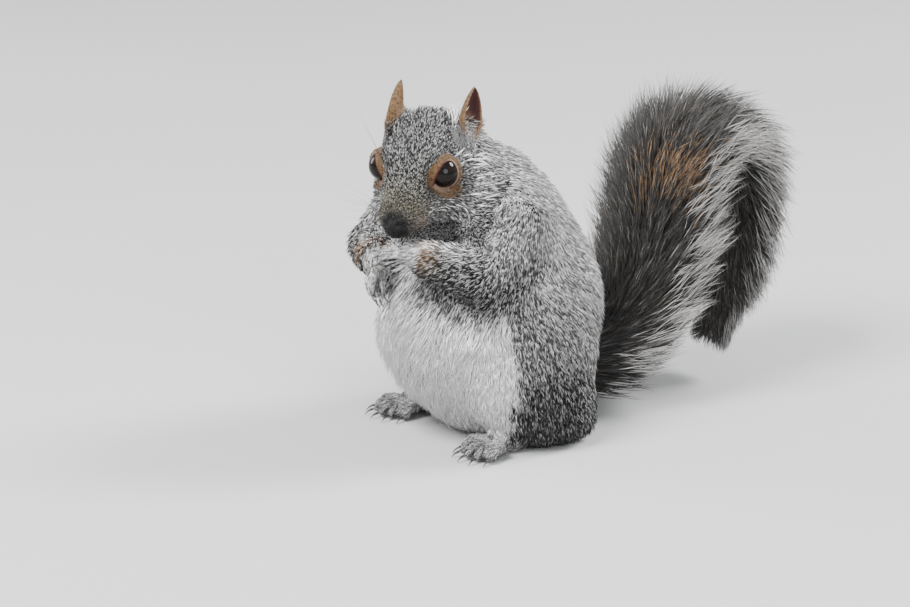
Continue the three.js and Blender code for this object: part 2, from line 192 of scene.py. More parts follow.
# the head's own frame, from the eyes and the tip of the muzzle

def headFrame():
    left, right = middleOf("eye_left"), middleOf("eye_right")
    across = unit(left - right)
    middle = (left + right) / 2
    level = unit(np.cross(across, [0, 0, 1]))
    points = nodePoints("head")
    tip = points[np.argmax(points @ (level + [0, 0, -0.7]))]  # furthest ahead and down
    tip = tip - across * (across @ (tip - middle))
    ahead = tip - middle
    ahead = unit(ahead - across * (ahead @ across))
    above = np.cross(ahead, across)
    above = above * np.sign(above[2])
    return {"middle": middle, "across": across, "ahead": ahead, "above": above, "nose": tip}


headAxes = headFrame()


def inHead(points):
    # left, ahead and up in the head's frame, in millimetres
    away = (points - headAxes["middle"]) / mm
    return np.stack([away @ headAxes[way] for way in ("across", "ahead", "above")], -1)


def fromHead(left, ahead, up):
    shift = left * headAxes["across"] + ahead * headAxes["ahead"] + up * headAxes["above"]
    return headAxes["middle"] + shift * mm


def headWay(way, side):
    # a direction that is given left, ahead and up in the head's frame, mirrored on the right
    left, ahead, up = way
    return left * sides[side] * headAxes["across"] + ahead * headAxes["ahead"] + up * headAxes["above"]


# the tail's middle line: the widest points of its solids' rings lie beside it

tailLook = {
    "ringRoom": 9 * mm,  # two points nearer than this belong to one ring
    "sameWidth": 0.05 * mm,
    "nextRing": (3 * mm, 27 * mm),  # least and most room between two rings
    "thinnest": 2 * mm,
    "deepest": 44 * mm,
    "finer": 4,  # steps from one ring to the next
    "coreAtRump": 12 * mm,
    "rooted": 16 * mm,  # how far its core starts inside the body
    "coreAtTip": 3 * mm,
    "coreEnd": 0.93,
    "coreRings": 60,
    "coreSides": 16,
    "step": 0.01,  # along the tail, to find its direction
}


def finerLine(rows, cuts):
    # a smooth curve through the rows, with `cuts` steps from each row to the next
    ends = np.concatenate([[2 * rows[0] - rows[1]], rows, [2 * rows[-1] - rows[-2]]])
    t = np.linspace(0, 1, cuts, endpoint=False)[:, None]
    parts = []
    for a, b, c, d in zip(ends, ends[1:], ends[2:], ends[3:]):
        second, third = 2 * a - 5 * b + 4 * c - d, 3 * (b - c) + d - a
        parts.append(b + t * (c - a) / 2 + t**2 * second / 2 + t**3 * third / 2)
    return np.concatenate(parts + [rows[-1:]])


def ringPoints():
    # the widest point of each ring, from the rump to the tip
    least, most = tailLook["nextRing"]
    points = np.concatenate([nodePoints(name) for name in tailNodes])
    points = points[points[:, 0] > 0]
    away = np.linalg.norm(points[:, None, 1:] - points[None, :, 1:], axis=2)
    wider = points[None, :, 0] > points[:, None, 0] + tailLook["sameWidth"]
    widest = points[~((away < tailLook["ringRoom"]) & wider).any(1)]
    left = list(widest[np.argsort(widest[:, 2])])
    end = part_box(tailNodes[-1])[0].z
    chain = [left.pop(int(np.argmin([abs(p[2] - end) + abs(p[1] - widest[:, 1].max()) for p in left])))]
    while left:
        gaps = [np.linalg.norm(p[1:] - chain[-1][1:]) for p in left]
        nearest = int(np.argmin(gaps))
        if gaps[nearest] > most:
            break
        point = left.pop(nearest)
        if gaps[nearest] > least:
            chain.append(point)
    return np.array(chain[::-1])


def traceTail():
    chain = ringPoints()
    line = chain * [0, 1, 1]
    ways = unit(np.gradient(line, axis=0))
    solids = solidsTree(tailNodes)
    flatness = []
    for at, way, widest in zip(line, ways, chain[:, 0]):
        deep = np.cross([1.0, 0, 0], way)
        reach = [solids.ray_cast(Vector(at), Vector(ray))[3] or 0 for ray in (deep, -deep)]
        known = min(reach) > tailLook["thinnest"] and sum(reach) < tailLook["deepest"]
        flatness.append(sum(reach) / 2 / widest if known else np.nan)
    flatness = np.array(flatness)
    known, order = ~np.isnan(flatness), np.arange(len(flatness))
    depths = chain[:, 0] * np.interp(order, order[known], flatness[known])
    rows = finerLine(np.concatenate([line, chain[:, :1], depths[:, None]], 1), tailLook["finer"])
    run = np.concatenate([[0], np.cumsum(np.linalg.norm(np.diff(rows[:, :3], axis=0), axis=1))])
    return {"line": rows[:, :3], "radii": rows[:, 3:], "share": run / run[-1], "length": run[-1]}


tail = traceTail()
print("tail line:", len(tail["line"]), "points,", round(tail["length"] / mm), "mm")


def tailAt(share):
    # middle, way along and half sizes of the tail at shares of its length
    def at(place, rows):
        return np.stack([np.interp(place, tail["share"], row) for row in rows.T], -1)

    share = np.clip(share, 0, 1)
    ahead, behind = [np.clip(share + step, 0, 1) for step in (tailLook["step"], -tailLook["step"])]
    way = unit(at(ahead, tail["line"]) - at(behind, tail["line"]))
    return at(share, tail["line"]), way, at(share, tail["radii"])


def coreRadius(share):
    return tailLook["coreAtRump"] + (tailLook["coreAtTip"] - tailLook["coreAtRump"]) * share**0.5


def tubeAlong(middles, wide, deep, around):
    # a closed tube through rings of the given half axes
    turn = np.arange(around) * 2 * math.pi / around
    rings = (
        middles[:, None]
        + np.cos(turn)[None, :, None] * wide[:, None]
        + np.sin(turn)[None, :, None] * deep[:, None]
    )
    last = (len(middles) - 1) * around
    faces = [
        (r + i, r + (i + 1) % around, r + around + (i + 1) % around, r + around + i)
        for r in range(0, last, around)
        for i in range(around)
    ]
    faces += [tuple(range(around))[::-1], tuple(last + i for i in range(around))]
    return rings.reshape(-1, 3), faces


def tailCore():
    share = np.linspace(0.0, tailLook["coreEnd"], tailLook["coreRings"])
    middle, way, _ = tailAt(share)
    radius = coreRadius(share)
    inside = middle[0] - way[0] * tailLook["rooted"]
    middle, way, radius = np.vstack([inside, middle]), np.vstack([way[0], way]), np.append(radius[0], radius)
    wide = np.tile([1.0, 0, 0], (len(radius), 1)) * radius[:, None]
    deep = np.cross(way, [1.0, 0, 0]) * radius[:, None]
    return tubeAlong(middle, wide, deep, tailLook["coreSides"])


# ears: a pointed leaf, cupped, its hollow open to the side

earLook = {
    "opens": (0.95, 0.13, 0.28),  # which way: left, ahead and up in the head's frame
    "halfWidth": 6.2,  # millimetres, as are the others
    "widestAt": 16.0,  # below the tip
    "full": 0.62,  # how round its outline is: less is rounder
    "narrowFrom": 15.0,
    "narrowTo": 27.0,
    "narrow": 0.6,
    "blunt": 0.8,  # half the width of its very tip
    "cup": 1.0,  # how deep, in half widths
    "setBack": 0.55,  # how far the hollow lies behind the ear's middle, in half widths
    "arc": 1.5,
    "wall": 1.25,
    "thinEdge": 0.4,
    "sink": 3.0,
    "foot": (1.5, -2.5),  # how far its lowest part is set out to the side and down, to the notch
    "rows": 30,
    "rowsToTip": 1.15,  # above 1 they are closer at the tip
    "columns": 21,
}


def earAxes(side):
    points = nodePoints("ear_" + side)
    tip = points[np.argmax(np.linalg.norm(points - headAxes["middle"], axis=1))]
    up = unit(tip - points.mean(0))
    opens = headWay(earLook["opens"], side)
    opens = unit(opens - up * (opens @ up))
    height = np.ptp(points @ up)
    wide = np.cross(opens, up)
    return {"tip": tip, "base": tip - up * height, "up": up, "opens": opens, "wide": wide, "height": height}


ears = {side: earAxes(side) for side in sides}


def earSheets(side):
    # the ear's outer side and the lining of its hollow, as two grids of points
    ear, look = ears[side], earLook
    whole = ear["height"] / mm + look["sink"]
    below = np.linspace(1, 0, look["rows"])[:, None] ** look["rowsToTip"] * whole
    u = np.linspace(-1, 1, look["columns"])[None, :]
    foot = smoothStep(look["narrowFrom"], look["narrowTo"], below)
    half = look["halfWidth"] * np.sin(np.pi / 2 * np.minimum(below / look["widestAt"], 1)) ** look["full"]
    half = np.hypot(half * (1 - look["narrow"] * foot), look["blunt"])
    angle = u * look["arc"]
    across = half * np.sin(angle)
    hollow = half * look["cup"] * (1 - np.cos(angle)) - half * look["setBack"]
    wall = np.minimum(look["wall"] * (1 - look["thinEdge"] * u**2), 0.5 * half)
    across, hollow = across + look["foot"][1] * foot * sides[side], hollow + look["foot"][0] * foot
    return [
        ear["tip"]
        - (below + 0 * u)[..., None] * mm * ear["up"]
        + (across - inward * wall * np.sin(angle))[..., None] * mm * ear["wide"]
        + (hollow + inward * wall * np.cos(angle))[..., None] * mm * ear["opens"]
        for inward in (0, 1)
    ]


def earShell(side):
    rows, columns = earLook["rows"], earLook["columns"]
    points = np.concatenate([sheet.reshape(-1, 3) for sheet in earSheets(side)])
    top, last = rows - 1, columns - 1

    def at(layer, r, c):
        return (layer * rows + r) * columns + c

    faces = []
    for r in range(top):
        for c in range(last):
            faces.append((at(0, r, c), at(0, r + 1, c), at(0, r + 1, c + 1), at(0, r, c + 1)))
            faces.append((at(1, r, c), at(1, r, c + 1), at(1, r + 1, c + 1), at(1, r + 1, c)))
        faces.append((at(0, r, 0), at(1, r, 0), at(1, r + 1, 0), at(0, r + 1, 0)))
        faces.append((at(0, r, last), at(0, r + 1, last), at(1, r + 1, last), at(1, r, last)))
    for c in range(last):
        faces.append((at(0, 0, c), at(0, 0, c + 1), at(1, 0, c + 1), at(1, 0, c)))
        faces.append((at(0, top, c), at(1, top, c), at(1, top, c + 1), at(0, top, c + 1)))
    return points, [face[::-1] for face in faces]


# the skin: all flesh as one body, drawn in by the depth of the coat

skinLook = {
    "voxel": 0.7 * mm,
    "coarser": 1.5,  # how much coarser it is while the facets are smoothed
    "overlap": 0.35 * mm,  # closes the thin cuts between the parts
    "lidFlesh": 0.9 * mm,  # over the eyeball, before the lids are cut
    "smoothing": 0.6,
    "pushBack": {"trunk": 0.7, "thigh": 0.7, "neck": 0.75, "upper_arm": 0.8, "forearm": 0.8},
    "pushBackElse": 1.02,
    "rounds": {"trunk": 110, "thigh": 110, "neck": 90, "upper_arm": 60, "forearm": 40, "head": 16},
    "fewRounds": 3,  # on hands and feet
    "shallowByEye": (0.25, 8, 15),  # share of the coat's depth left there, and where it grows deeper
    "shallowMuzzle": (0.5, 12, 26),
    "bulk": ("trunk", "thigh", "neck", "upper_arm", "tail"),
    "kept": 0.32,  # share of the faces left
    "bulkFirst": 8,  # how much sooner the bulk's faces go
}
# depth of coat, then length, width, lift in degrees and number per square millimetre of its tufts
coatLook = {
    "head": {"depth": 1.5, "length": 4.4, "width": 0.72, "lift": 18, "thick": 3.8},
    "neck": {"depth": 3.2, "length": 8.0, "width": 0.85, "lift": 20, "thick": 1.85},
    "trunk": {"depth": 3.6, "length": 8.0, "width": 0.86, "lift": 20, "thick": 1.9},
    "upper_arm": {"depth": 2.6, "length": 7.0, "width": 0.9, "lift": 20, "thick": 1.95},
    "forearm": {"depth": 1.6, "length": 5.8, "width": 0.83, "lift": 20, "thick": 2.3},
    "hand": {"depth": 0.5, "length": 3.4, "width": 0.72, "lift": 10, "thick": 3.6},
    "thigh": {"depth": 3.2, "length": 7.5, "width": 0.76, "lift": 18, "thick": 1.95},
    "foot": {"depth": 0.5, "length": 3.0, "width": 0.62, "lift": 10, "thick": 4.6},
    "tail": {"depth": 0.0, "length": 9.0, "width": 0.7, "lift": 30, "thick": 0.8},
    "ear": {"depth": 0.1, "length": 1.5, "width": 0.3, "lift": 12, "thick": 12.0},
}
regionNames = list(coatLook)


def perRegion(key):
    return np.array([look[key] for look in coatLook.values()])


def regionIndex(*names):
    return [regionNames.index(name) for name in names]


def shareOf(shares, *names):
    # how much of each point belongs to these regions
    return shares[:, regionIndex(*names)].sum(1)


def remeshed(piece, voxel):
    remesh = piece.modifiers.new("remesh", "REMESH")
    remesh.mode = "VOXEL"
    remesh.voxel_size = voxel
    withModifiers(piece)


def regionTree():
    names = limbNodes + tailNodes + earNodes
    regions = [next(i for i, region in enumerate(regionNames) if name.startswith(region)) for name in names]
    return solidsTree(names), np.repeat(regions, [len(nodeTriangles(name)) for name in names])


tree, treeOwner = regionTree()


def regionShares(points, edges, rounds):
    nearest = np.array([tree.find_nearest(Vector(p))[2] for p in points])
    return relax(np.eye(len(regionNames))[treeOwner[nearest]], edges, rounds, 0.8)


def smoothFacets(points, edges, shares):
    # evens out the facets and keeps the forms: each pull inwards is followed by a push outwards
    look = skinLook
    rounds = shares @ np.array([look["rounds"].get(name, look["fewRounds"]) for name in regionNames])
    back = shares @ np.array([look["pushBack"].get(name, look["pushBackElse"]) for name in regionNames])
    for r in range(int(rounds.max())):
        pull = np.clip(rounds - r, 0, 1)[:, None] * look["smoothing"]
        points = points + (neighbourMean(points, edges) - points) * pull
        points = points - (neighbourMean(points, edges) - points) * pull * back[:, None]
    return points


def setPoints(piece, points):
    piece.data.vertices.foreach_set("co", points.ravel())
    piece.data.update()


def addShape(mesh, points, faces):
    whole = bmesh.new()
    whole.from_mesh(mesh)
    corners = [whole.verts.new(p) for p in points]
    for face in faces:
        whole.faces.new([corners[i] for i in face])
    whole.to_mesh(mesh)
    whole.free()


def joinWith(piece, points, faces):
    tool = newPiece("tool", points, faces, False)
    union = piece.modifiers.new("join", "BOOLEAN")
    union.operation, union.solver, union.object = "UNION", "MANIFOLD", tool
    withModifiers(piece)
    bpy.data.objects.remove(tool)


def thinBulk(skin):
    # fewer faces on the large forms, which the coat hides
    points, edges, _ = readMesh(skin.data)
    bulk = shareOf(regionShares(points, edges, 2), *skinLook["bulk"])
    group = skin.vertex_groups.new(name="bulk")
    for level in (0.25, 0.5, 0.75, 1.0):
        chosen = np.flatnonzero((bulk > level - 0.25) & (bulk <= level))
        group.add(chosen.tolist(), level, "REPLACE")
    thin = skin.modifiers.new("thin", "DECIMATE")
    thin.ratio, thin.vertex_group, thin.vertex_group_factor = skinLook["kept"], "bulk", skinLook["bulkFirst"]
    withModifiers(skin)
    skin.vertex_groups.clear()


def drawIn(skin):
    # from the coat's tips down to its roots
    points, edges, _ = readMesh(skin.data)
    shares = regionShares(points, edges, 6)
    setPoints(skin, smoothFacets(points, edges, shares))
    points, edges, normals = readMesh(skin.data)
    depth = shares @ perRegion("depth")
    eyeGap = np.min([distance(points, middleOf("eye_" + side)) for side in sides], axis=0)
    least, near, far = skinLook["shallowByEye"]
    depth *= least + (1 - least) * smoothStep(near, far, eyeGap)
    least, near, far = skinLook["shallowMuzzle"]
    depth *= 1 - least * smoothStep(near, far, inHead(points)[:, 1])
    setPoints(skin, points - unit(relax(normals, edges, 4)) * (depth * mm + skinLook["overlap"])[:, None])


def fleshFuller(node):
    return skinLook["lidFlesh" if node.startswith("eye") else "overlap"]


def buildSkin():
    skin = addObject("skin", joinedNodes("skin", limbNodes + ["eye_left", "eye_right"], fleshFuller))
    remeshed(skin, skinLook["voxel"] * skinLook["coarser"])
    drawIn(skin)
    addShape(skin.data, *tailCore())
    remeshed(skin, skinLook["voxel"])
    thinBulk(skin)
    for side in sides:
        joinWith(skin, *earShell(side))
    return skin


skin = buildSkin()
print("skin:", len(skin.data.vertices), "points", len(skin.data.polygons), "faces")


# the face: lids round the eyes, nostrils and the line of the mouth, cut into the skin

faceLook = {
    "lidAxis": (0.651, 0.705, 0.281),  # where the eye's opening looks: left, ahead and up in the head's frame
    "openLong": 74.2,  # half angles of the opening, from its front corner to its back one and across it
    "openWide": 43.0,
    "frontCorner": 0.35,  # how far the front corner is drawn out
    "cornerUp": 25,  # how much the back corner of the eye stands higher than the front one
    "lidGap": 0.3,  # between eyeball and lid, millimetres, as are all that follow
    "lidThick": 0.9,
    "lidSoft": 1.3,
    "lidEnd": (1.6, 5.0),  # where the lids run into the face
    "socket": 1.6,
    "nostril": (2.0, -0.9, 0.6),  # from the nose's tip: left, ahead and up
    "nostrilRuns": (0.9, -1.5, 0.7),
    "nostrilSize": (0.85, 1.3),  # width and depth
    "mouth": (-2.2, -6.0),  # its middle, from the nose's tip: ahead and up
    "mouthRuns": (7.5, -11.0, -3.2, 2.0),  # to its corner: aside, ahead, up and how much it bows
    "mouthSize": (0.9, 0.9),
    "cleft": ((-0.2, -1.5), (-1.7, -6.0)),  # under the nose: both its ends
    "cleftSize": (0.6, 0.5),
    "fineRoom": {"eyes": 5.0, "rims": 1.5, "nose": 7.0, "paws": 13.0},  # where the skin gets finer faces
}


def eyeFrame(side):
    low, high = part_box("eye_" + side)
    turn = math.radians(faceLook["cornerUp"])
    axis = unit(headWay(faceLook["lidAxis"], side))
    long = -headAxes["ahead"] * math.cos(turn) + headAxes["above"] * math.sin(turn)
    long = unit(long - axis * (long @ axis))
    wide = np.cross(axis, long)
    lower = -wide * sides[side]  # towards the lower lid
    middle, radius = middleOf("eye_" + side), (high - low).x / 2
    return {"middle": middle, "radius": radius, "axis": axis, "long": long, "wide": wide, "lower": lower}


eyes = {side: eyeFrame(side) for side in sides}


def lidGap(points, eye):
    # how far a point lies outside the eye's opening, along the eyeball, in millimetres
    away = unit(points - eye["middle"])
    angle = np.degrees(np.arccos(np.clip(away @ eye["axis"], -1, 1)))
    turn = np.arctan2(away @ eye["wide"], away @ eye["long"])
    pointed = 1 + faceLook["frontCorner"] * np.clip(-np.cos(turn), 0, 1) ** 10
    reach = pointed / np.hypot(np.cos(turn) / faceLook["openLong"], np.sin(turn) / faceLook["openWide"])
    return np.radians(angle - reach) * eye["radius"] / mm


def nearestEye(points):
    return np.min([distance(points, eye["middle"]) for eye in eyes.values()], axis=0)


def ringGap(points):
    # the nearer eye's lidGap, but counting how far a point stands off the eyeball too
    gaps = np.array([lidGap(points, eye) for eye in eyes.values()])
    nearer = np.argmin([distance(points, eye["middle"]) for eye in eyes.values()], axis=0)
    gap = gaps[nearer, np.arange(len(points))]
    lids = eyes["left"]["radius"] / mm + faceLook["lidGap"] + faceLook["lidThick"] + 0.2
    off = np.maximum(nearestEye(points) - lids, 0)
    return np.hypot(np.maximum(gap, 0), off) + np.minimum(gap, 0) * (off < 0.5)


def refineNear(piece, spots):
    # halves the faces near each place, within its room in millimetres
    fine = bmesh.new()
    fine.from_mesh(piece.data)
    points = np.array([v.co for v in fine.verts])
    near = np.any([distance(points, place) < room for place, room in spots], axis=0)
    fine.edges.ensure_lookup_table()
    chosen = [e for e in fine.edges if near[e.verts[0].index] and near[e.verts[1].index]]
    bmesh.ops.subdivide_edges(fine, edges=chosen, cuts=1, use_grid_fill=True)
    bmesh.ops.triangulate(fine, faces=[f for f in fine.faces if len(f.verts) > 4])
    fine.to_mesh(piece.data)
    fine.free()


def setLids(points):
    look = faceLook
    for eye in eyes.values():
        away = points - eye["middle"]
        reach = np.linalg.norm(away, axis=1) / mm
        gap = lidGap(points, eye)
        radius = eye["radius"] / mm
        rim = radius + look["lidGap"] + look["lidThick"] * smoothStep(0, look["lidSoft"], gap)
        rim = np.where(gap < -0.12, radius - look["socket"], rim)
        hold = (1 - smoothStep(*look["lidEnd"], gap)) * (1 - smoothStep(radius * 1.3, radius * 1.8, reach))
        points = points + unit(away) * ((rim - reach) * hold)[:, None] * mm
    return points


def carve(points, normals, spots, size):
    # presses a soft groove or pit of this width and depth into the skin along spots
    width, depth = size
    gap = np.min([distance(points, spot) for spot in spots], axis=0)
    return points - normals * (depth * mm * np.exp(-((gap / width) ** 2)))[:, None]


def sculptFace(skin):
    look, room = faceLook, faceLook["fineRoom"]
    tip = inHead(headAxes["nose"][None])[0]
    around, rims = [(headAxes["nose"], room["nose"])], []
    for eye in eyes.values():
        radius = eye["radius"] / mm
        around.append((eye["middle"], radius + room["eyes"]))
        rims.append((eye["middle"] + eye["axis"] * 2 * mm, radius + room["rims"]))
    refineNear(skin, around)
    refineNear(skin, rims)

    def byNose(left, ahead, up):
        return fromHead(tip[0] + left, tip[1] + ahead, tip[2] + up)

    points, _, normals = readMesh(skin.data)
    points = setLids(points)
    left, ahead, up = look["nostril"]
    pitLeft, pitAhead, pitUp = look["nostrilRuns"]
    aside, back, down, bow = look["mouthRuns"]
    for side in sides.values():
        pits = [
            byNose(side * (left + pitLeft * t), ahead + pitAhead * t, up + pitUp * t * (1 - t))
            for t in (0, 0.35, 0.7, 1)
        ]
        points = carve(points, normals, pits, look["nostrilSize"])
        lips = [
            byNose(side * aside * t, look["mouth"][0] + back * t, look["mouth"][1] + down * t + bow * t * t)
            for t in np.linspace(0, 1, 14)
        ]
        points = carve(points, normals, lips, look["mouthSize"])
    cleft = [byNose(0, *spot) for spot in np.linspace(*look["cleft"], 8)]
    setPoints(skin, carve(points, normals, cleft, look["cleftSize"]))


toeLook = {
    "width": 0.8,  # of a groove, in millimetres
    "deep": {"hand": 1.3, "foot": 1.2},
    "from": (-5.0, -4.0),  # it begins this far outside the claws
    "fades": 0.6,  # share of the way to the paw's middle, where it starts to fade
    "past": (5.0, 3.0),  # no groove this much further from the paw's middle than the claws
}


def betweenToes(points, paw, side):
    # 1 in the middle of the grooves between a paw's toes or fingers, 0 away from them
    middle = middleOf(f"{paw}_{side}")
    toes = [middleOf(name) for name in clawNodes if name.startswith(f"claw_{paw}_{side}")]
    away = distance(points, middle)
    groove = np.zeros(len(points))
    for first, second in zip(toes, toes[1:]):
        start = (first + second) / 2
        length = np.linalg.norm(middle - start) / mm
        back = unit(middle - start)
        across = unit((second - first) - back * ((second - first) @ back))
        along, aside = (points - start) @ back / mm, (points - start) @ across / mm
        span = smoothStep(*toeLook["from"], along) * smoothStep(length, length * toeLook["fades"], along)
        span = span * smoothStep(*[length + past for past in toeLook["past"]], away)
        groove = np.maximum(groove, bump(aside, 0, toeLook["width"]) * span)
    return groove


def sculptPaws(skin):
    paws = [(paw, side) for paw in toeLook["deep"] for side in sides]
    refineNear(skin, [(middleOf(f"{paw}_{side}"), faceLook["fineRoom"]["paws"]) for paw, side in paws])
    points, _, normals = readMesh(skin.data)
    for paw, side in paws:
        points = points - normals * (betweenToes(points, paw, side) * toeLook["deep"][paw] * mm)[:, None]
    setPoints(skin, points)


sculptFace(skin)
sculptPaws(skin)
points, edges, normals = readMesh(skin.data)
triangles = trianglesOf(skin.data)
shares = regionShares(points, edges, 8)
softNormals = unit(relax(normals, edges, 3))
print("face and paws:", len(points), "points of the skin")


# which way the coat lies, as a tangent at each point of the skin

layLook = {
    "neck": (0, 0.1, -1.0),
    "neckBack": 0.55,  # how much further back it runs there
    "neckSide": 0.25,
    "trunk": (0, -0.05, -1.0),
    "trunkBack": 0.35,
    "trunkSide": 0.34,  # how much the belly's hair runs to the middle
    "thigh": (0, 0.12, -1.0),
    "armDown": (0.8, 0.75),  # how much the hair hangs from upper arm and forearm
    "cheekHang": (0.25, 0.6),  # over the jaw: everywhere on the head, and more on the cheeks
    "fromEar": 1.3,  # how strongly it leans away from the ears' hollows
    "rounds": 14,
}


def limbFlows(points):
    # down the arms to the claws, and along the feet
    flows = {"upper_arm": 0, "forearm": 0, "hand": 0, "foot": 0}
    hands = {side: middleOf("hand_" + side) for side in sides}
    byHand = {side: distance(points, hand) for side, hand in hands.items()}
    upperDown, lowerDown = [np.array([0, 0, -down]) for down in layLook["armDown"]]
    for (side, sign), other in zip(sides.items(), reversed(sides)):
        shoulder, elbow, hand = middleOf("upper_arm_" + side), middleOf("forearm_" + side), hands[side]
        onSide = (points[:, 0] * sign > 0)[:, None]
        flows["upper_arm"] = flows["upper_arm"] + (unit(elbow - shoulder) + upperDown) * onSide
        flows["forearm"] = flows["forearm"] + (unit(hand - elbow) + lowerDown) * onSide
        onHand = (byHand[side] < byHand[other])[:, None]
        flows["hand"] = flows["hand"] + unit(middleOf(f"claw_hand_{side}_2") - hand) * onHand
        toes, foot = middleOf(f"claw_foot_{side}_3"), middleOf("foot_" + side)
        flows["foot"] = flows["foot"] + unit(toes - foot) * onSide
    return flows


def nearestShare(points):
    # where along the tail's line each point lies; in blocks, to save memory
    blocks = np.array_split(points, len(points) // 20000 + 1)
    nearest = [np.argmin(((block[:, None] - tail["line"][None]) ** 2).sum(2), 1) for block in blocks]
    return tail["share"][np.concatenate(nearest)]


def layOfCoat(points, normals, shares, edges):
    look = layLook
    _, ahead, up = inHead(points).T
    back = smoothStep(-0.3, 0.3, normals[:, 1])[:, None]
    side = np.sign(points[:, :1]) * smoothStep(0, 20 * mm, np.abs(points[:, :1]))
    hang, cheeks = look["cheekHang"]
    hang = hang + cheeks * bump(up, -13, 7) * smoothStep(28, 15, ahead)
    fromNose = unit(points - headAxes["nose"] - headAxes["ahead"] * 10 * mm)
    flow = limbFlows(points)
    flow["head"] = fromNose - hang[:, None] * [0, 0, 1]
    flow["neck"] = look["neck"] + back * [0, look["neckBack"], 0] + side * [look["neckSide"], 0, 0]
    toMiddle = (1 - back) * side * [look["trunkSide"], 0, 0]
    flow["trunk"] = look["trunk"] + back * [0, look["trunkBack"], 0] - toMiddle
    flow["thigh"] = np.tile(look["thigh"], (len(points), 1))
    flow["tail"] = tailAt(nearestShare(points))[1]
    flow["ear"] = np.where(points[:, :1] > middleOf("head")[0], ears["left"]["up"], ears["right"]["up"])
    total = sum(shares[:, [i]] * unit(flow[name]) for i, name in enumerate(regionNames))
    for ear in ears.values():
        beside = smoothStep(14, 8, distance(points, ear["base"]))
        beside = beside * smoothStep(-1.5, -4, (points - ear["base"]) @ ear["opens"] / mm)
        total = total - look["fromEar"] * beside[:, None] * ear["opens"]
    for _ in range(look["rounds"]):
        total = total - normals * dot(total, normals)[:, None]
        total = unit(total) + (neighbourMean(unit(total), edges) - unit(total)) * 0.7
    return unit(total - normals * dot(total, normals)[:, None])


lie = layOfCoat(points, unit(relax(normals, edges, 6)), shares, edges)
print("lie of the coat set")


# markings: where the coat is white, rusty and so on, alike on skin and hair

markLook = {
    "bellyEnds": 16.5,  # where the flanks turn white, in millimetres ahead of the thighs' middle
    "bellySoft": 3.5,
    "chest": (0.6, 58, 74),  # how much greyer the white grows high on the front between the arms, painted shade, and between which heights
    "white": {"throat": 0.9, "arm": 0.6, "armTop": 0.5, "hand": 0.45, "foot": 0.2, "chin": 0.5, "jaw": 0.2},
    "behindEar": 0.8,
    "cheekWhite": 0.12,
    "rim": 0.35,  # cream, round the eye
    "ring": 3.3,  # ochre
    "ringEdge": (4.7, 0.8, 0.55),  # dark: how far out, how wide and how strong
    "redLid": (0.1, 0.25, 0.55),  # how far out, and how wide it is whole and at its end
    "tear": 3.2,  # the dark spot below the eye's front corner
    "noseDark": (9.0, 1.5, 1.7),  # how far it reaches, how fast it fades and how strong it is
    "olive": 0.9,
    "wrist": (0, -4, 6.5),  # of the rusty spot, from between hand and forearm
    "wristRust": (0.55, 5.5),  # how strong and how wide it is
    # painted shade in the grooves between the toes and fingers
    "toeGrooveShade": 0.9,
    "earHollow": (21, 15),  # dark red painted shade of the hollow above these, millimetres below the tip
    "earBare": (26, 22),
}
shadeLook = {  # 0 darkest, 1 lightest; the coat's tone, with painted shade low on the haunch and under the arms
    "all": 0.52,
    "back": 0.40,
    "neck": 0.65,  # share of the back's
    "behind": 0.2,
    "haunch": 0.44,  # painted shade, darker low down
    "haunchTop": 0.07,
    # painted shade under the forearm and upper arm
    "armUnderShade": 0.35,
    "shoulder": 0.2,
    "forearm": 0.17,
    "face": 0.3,
    "muzzle": 0.12,
    "nape": 0.1,
    "cheek": 0.05,
    "hand": 0.24,
    "foot": 0.34,
}
hips = (middleOf("thigh_left") + middleOf("thigh_right")) / 2


def whiteMarks(points, normals, share, wander):
    look, much = markLook, markLook["white"]
    _, ahead, up = inHead(points).T
    headBelow = -(normals @ headAxes["above"])
    edge = (hips[1] - points[:, 1]) / mm - look["bellyEnds"] + wander * 2.5
    belly = smoothStep(0, look["bellySoft"], edge) * smoothStep(0.25, -0.15, normals[:, 1])
    # painted shade high on the front, between the arms
    belly *= 1 - look["chest"][0] * smoothStep(*look["chest"][1:], points[:, 2] / mm)
    inner = smoothStep(0.2, 0.6, -normals[:, 0] * np.sign(points[:, 0]) + wander * 0.1)
    top = smoothStep(0.55, 0.9, normals[:, 2]) * smoothStep(0, 0.3, 0.3 - normals[:, 1])
    throat = smoothStep(0.35, 0.7, headBelow + wander * 0.1) * smoothStep(30, 12, ahead)
    chin = smoothStep(0.2, 0.7, headBelow) * smoothStep(22, 12, ahead)
    jaw = bump(up, -13, 6) * smoothStep(22, 14, ahead)
    white = share["trunk"] * np.maximum(belly, smoothStep(0.5, 0.8, -normals[:, 2]))
    white += share["neck"] * smoothStep(0.4, 0.6, -normals[:, 1] + wander * 0.1)
    white += share["thigh"] * np.maximum(belly, inner)
    white += share["head"] * (much["throat"] * throat + much["chin"] * chin + much["jaw"] * jaw)
    white += (share["upper_arm"] + share["forearm"]) * np.maximum(inner, much["armTop"] * top) * much["arm"]
    white += share["hand"] * much["hand"] + share["foot"] * much["foot"]
    behindEar = np.zeros(len(points))
    for ear in ears.values():
        gap = distance(points, ear["base"] - ear["opens"] * 7 * mm + ear["up"] * 5 * mm)
        inward = smoothStep(-2.5, -4, (points - ear["base"]) @ ear["opens"] / mm)
        behindEar = np.maximum(behindEar, (1 - smoothStep(4, 6.5, gap)) * inward)
    white = np.maximum(white, look["behindEar"] * behindEar * np.clip(1 - 4 * share["ear"], 0, 1))
    return np.maximum(white, look["cheekWhite"] * bump(ahead, -6, 12) * bump(up, -12, 8) * share["head"])


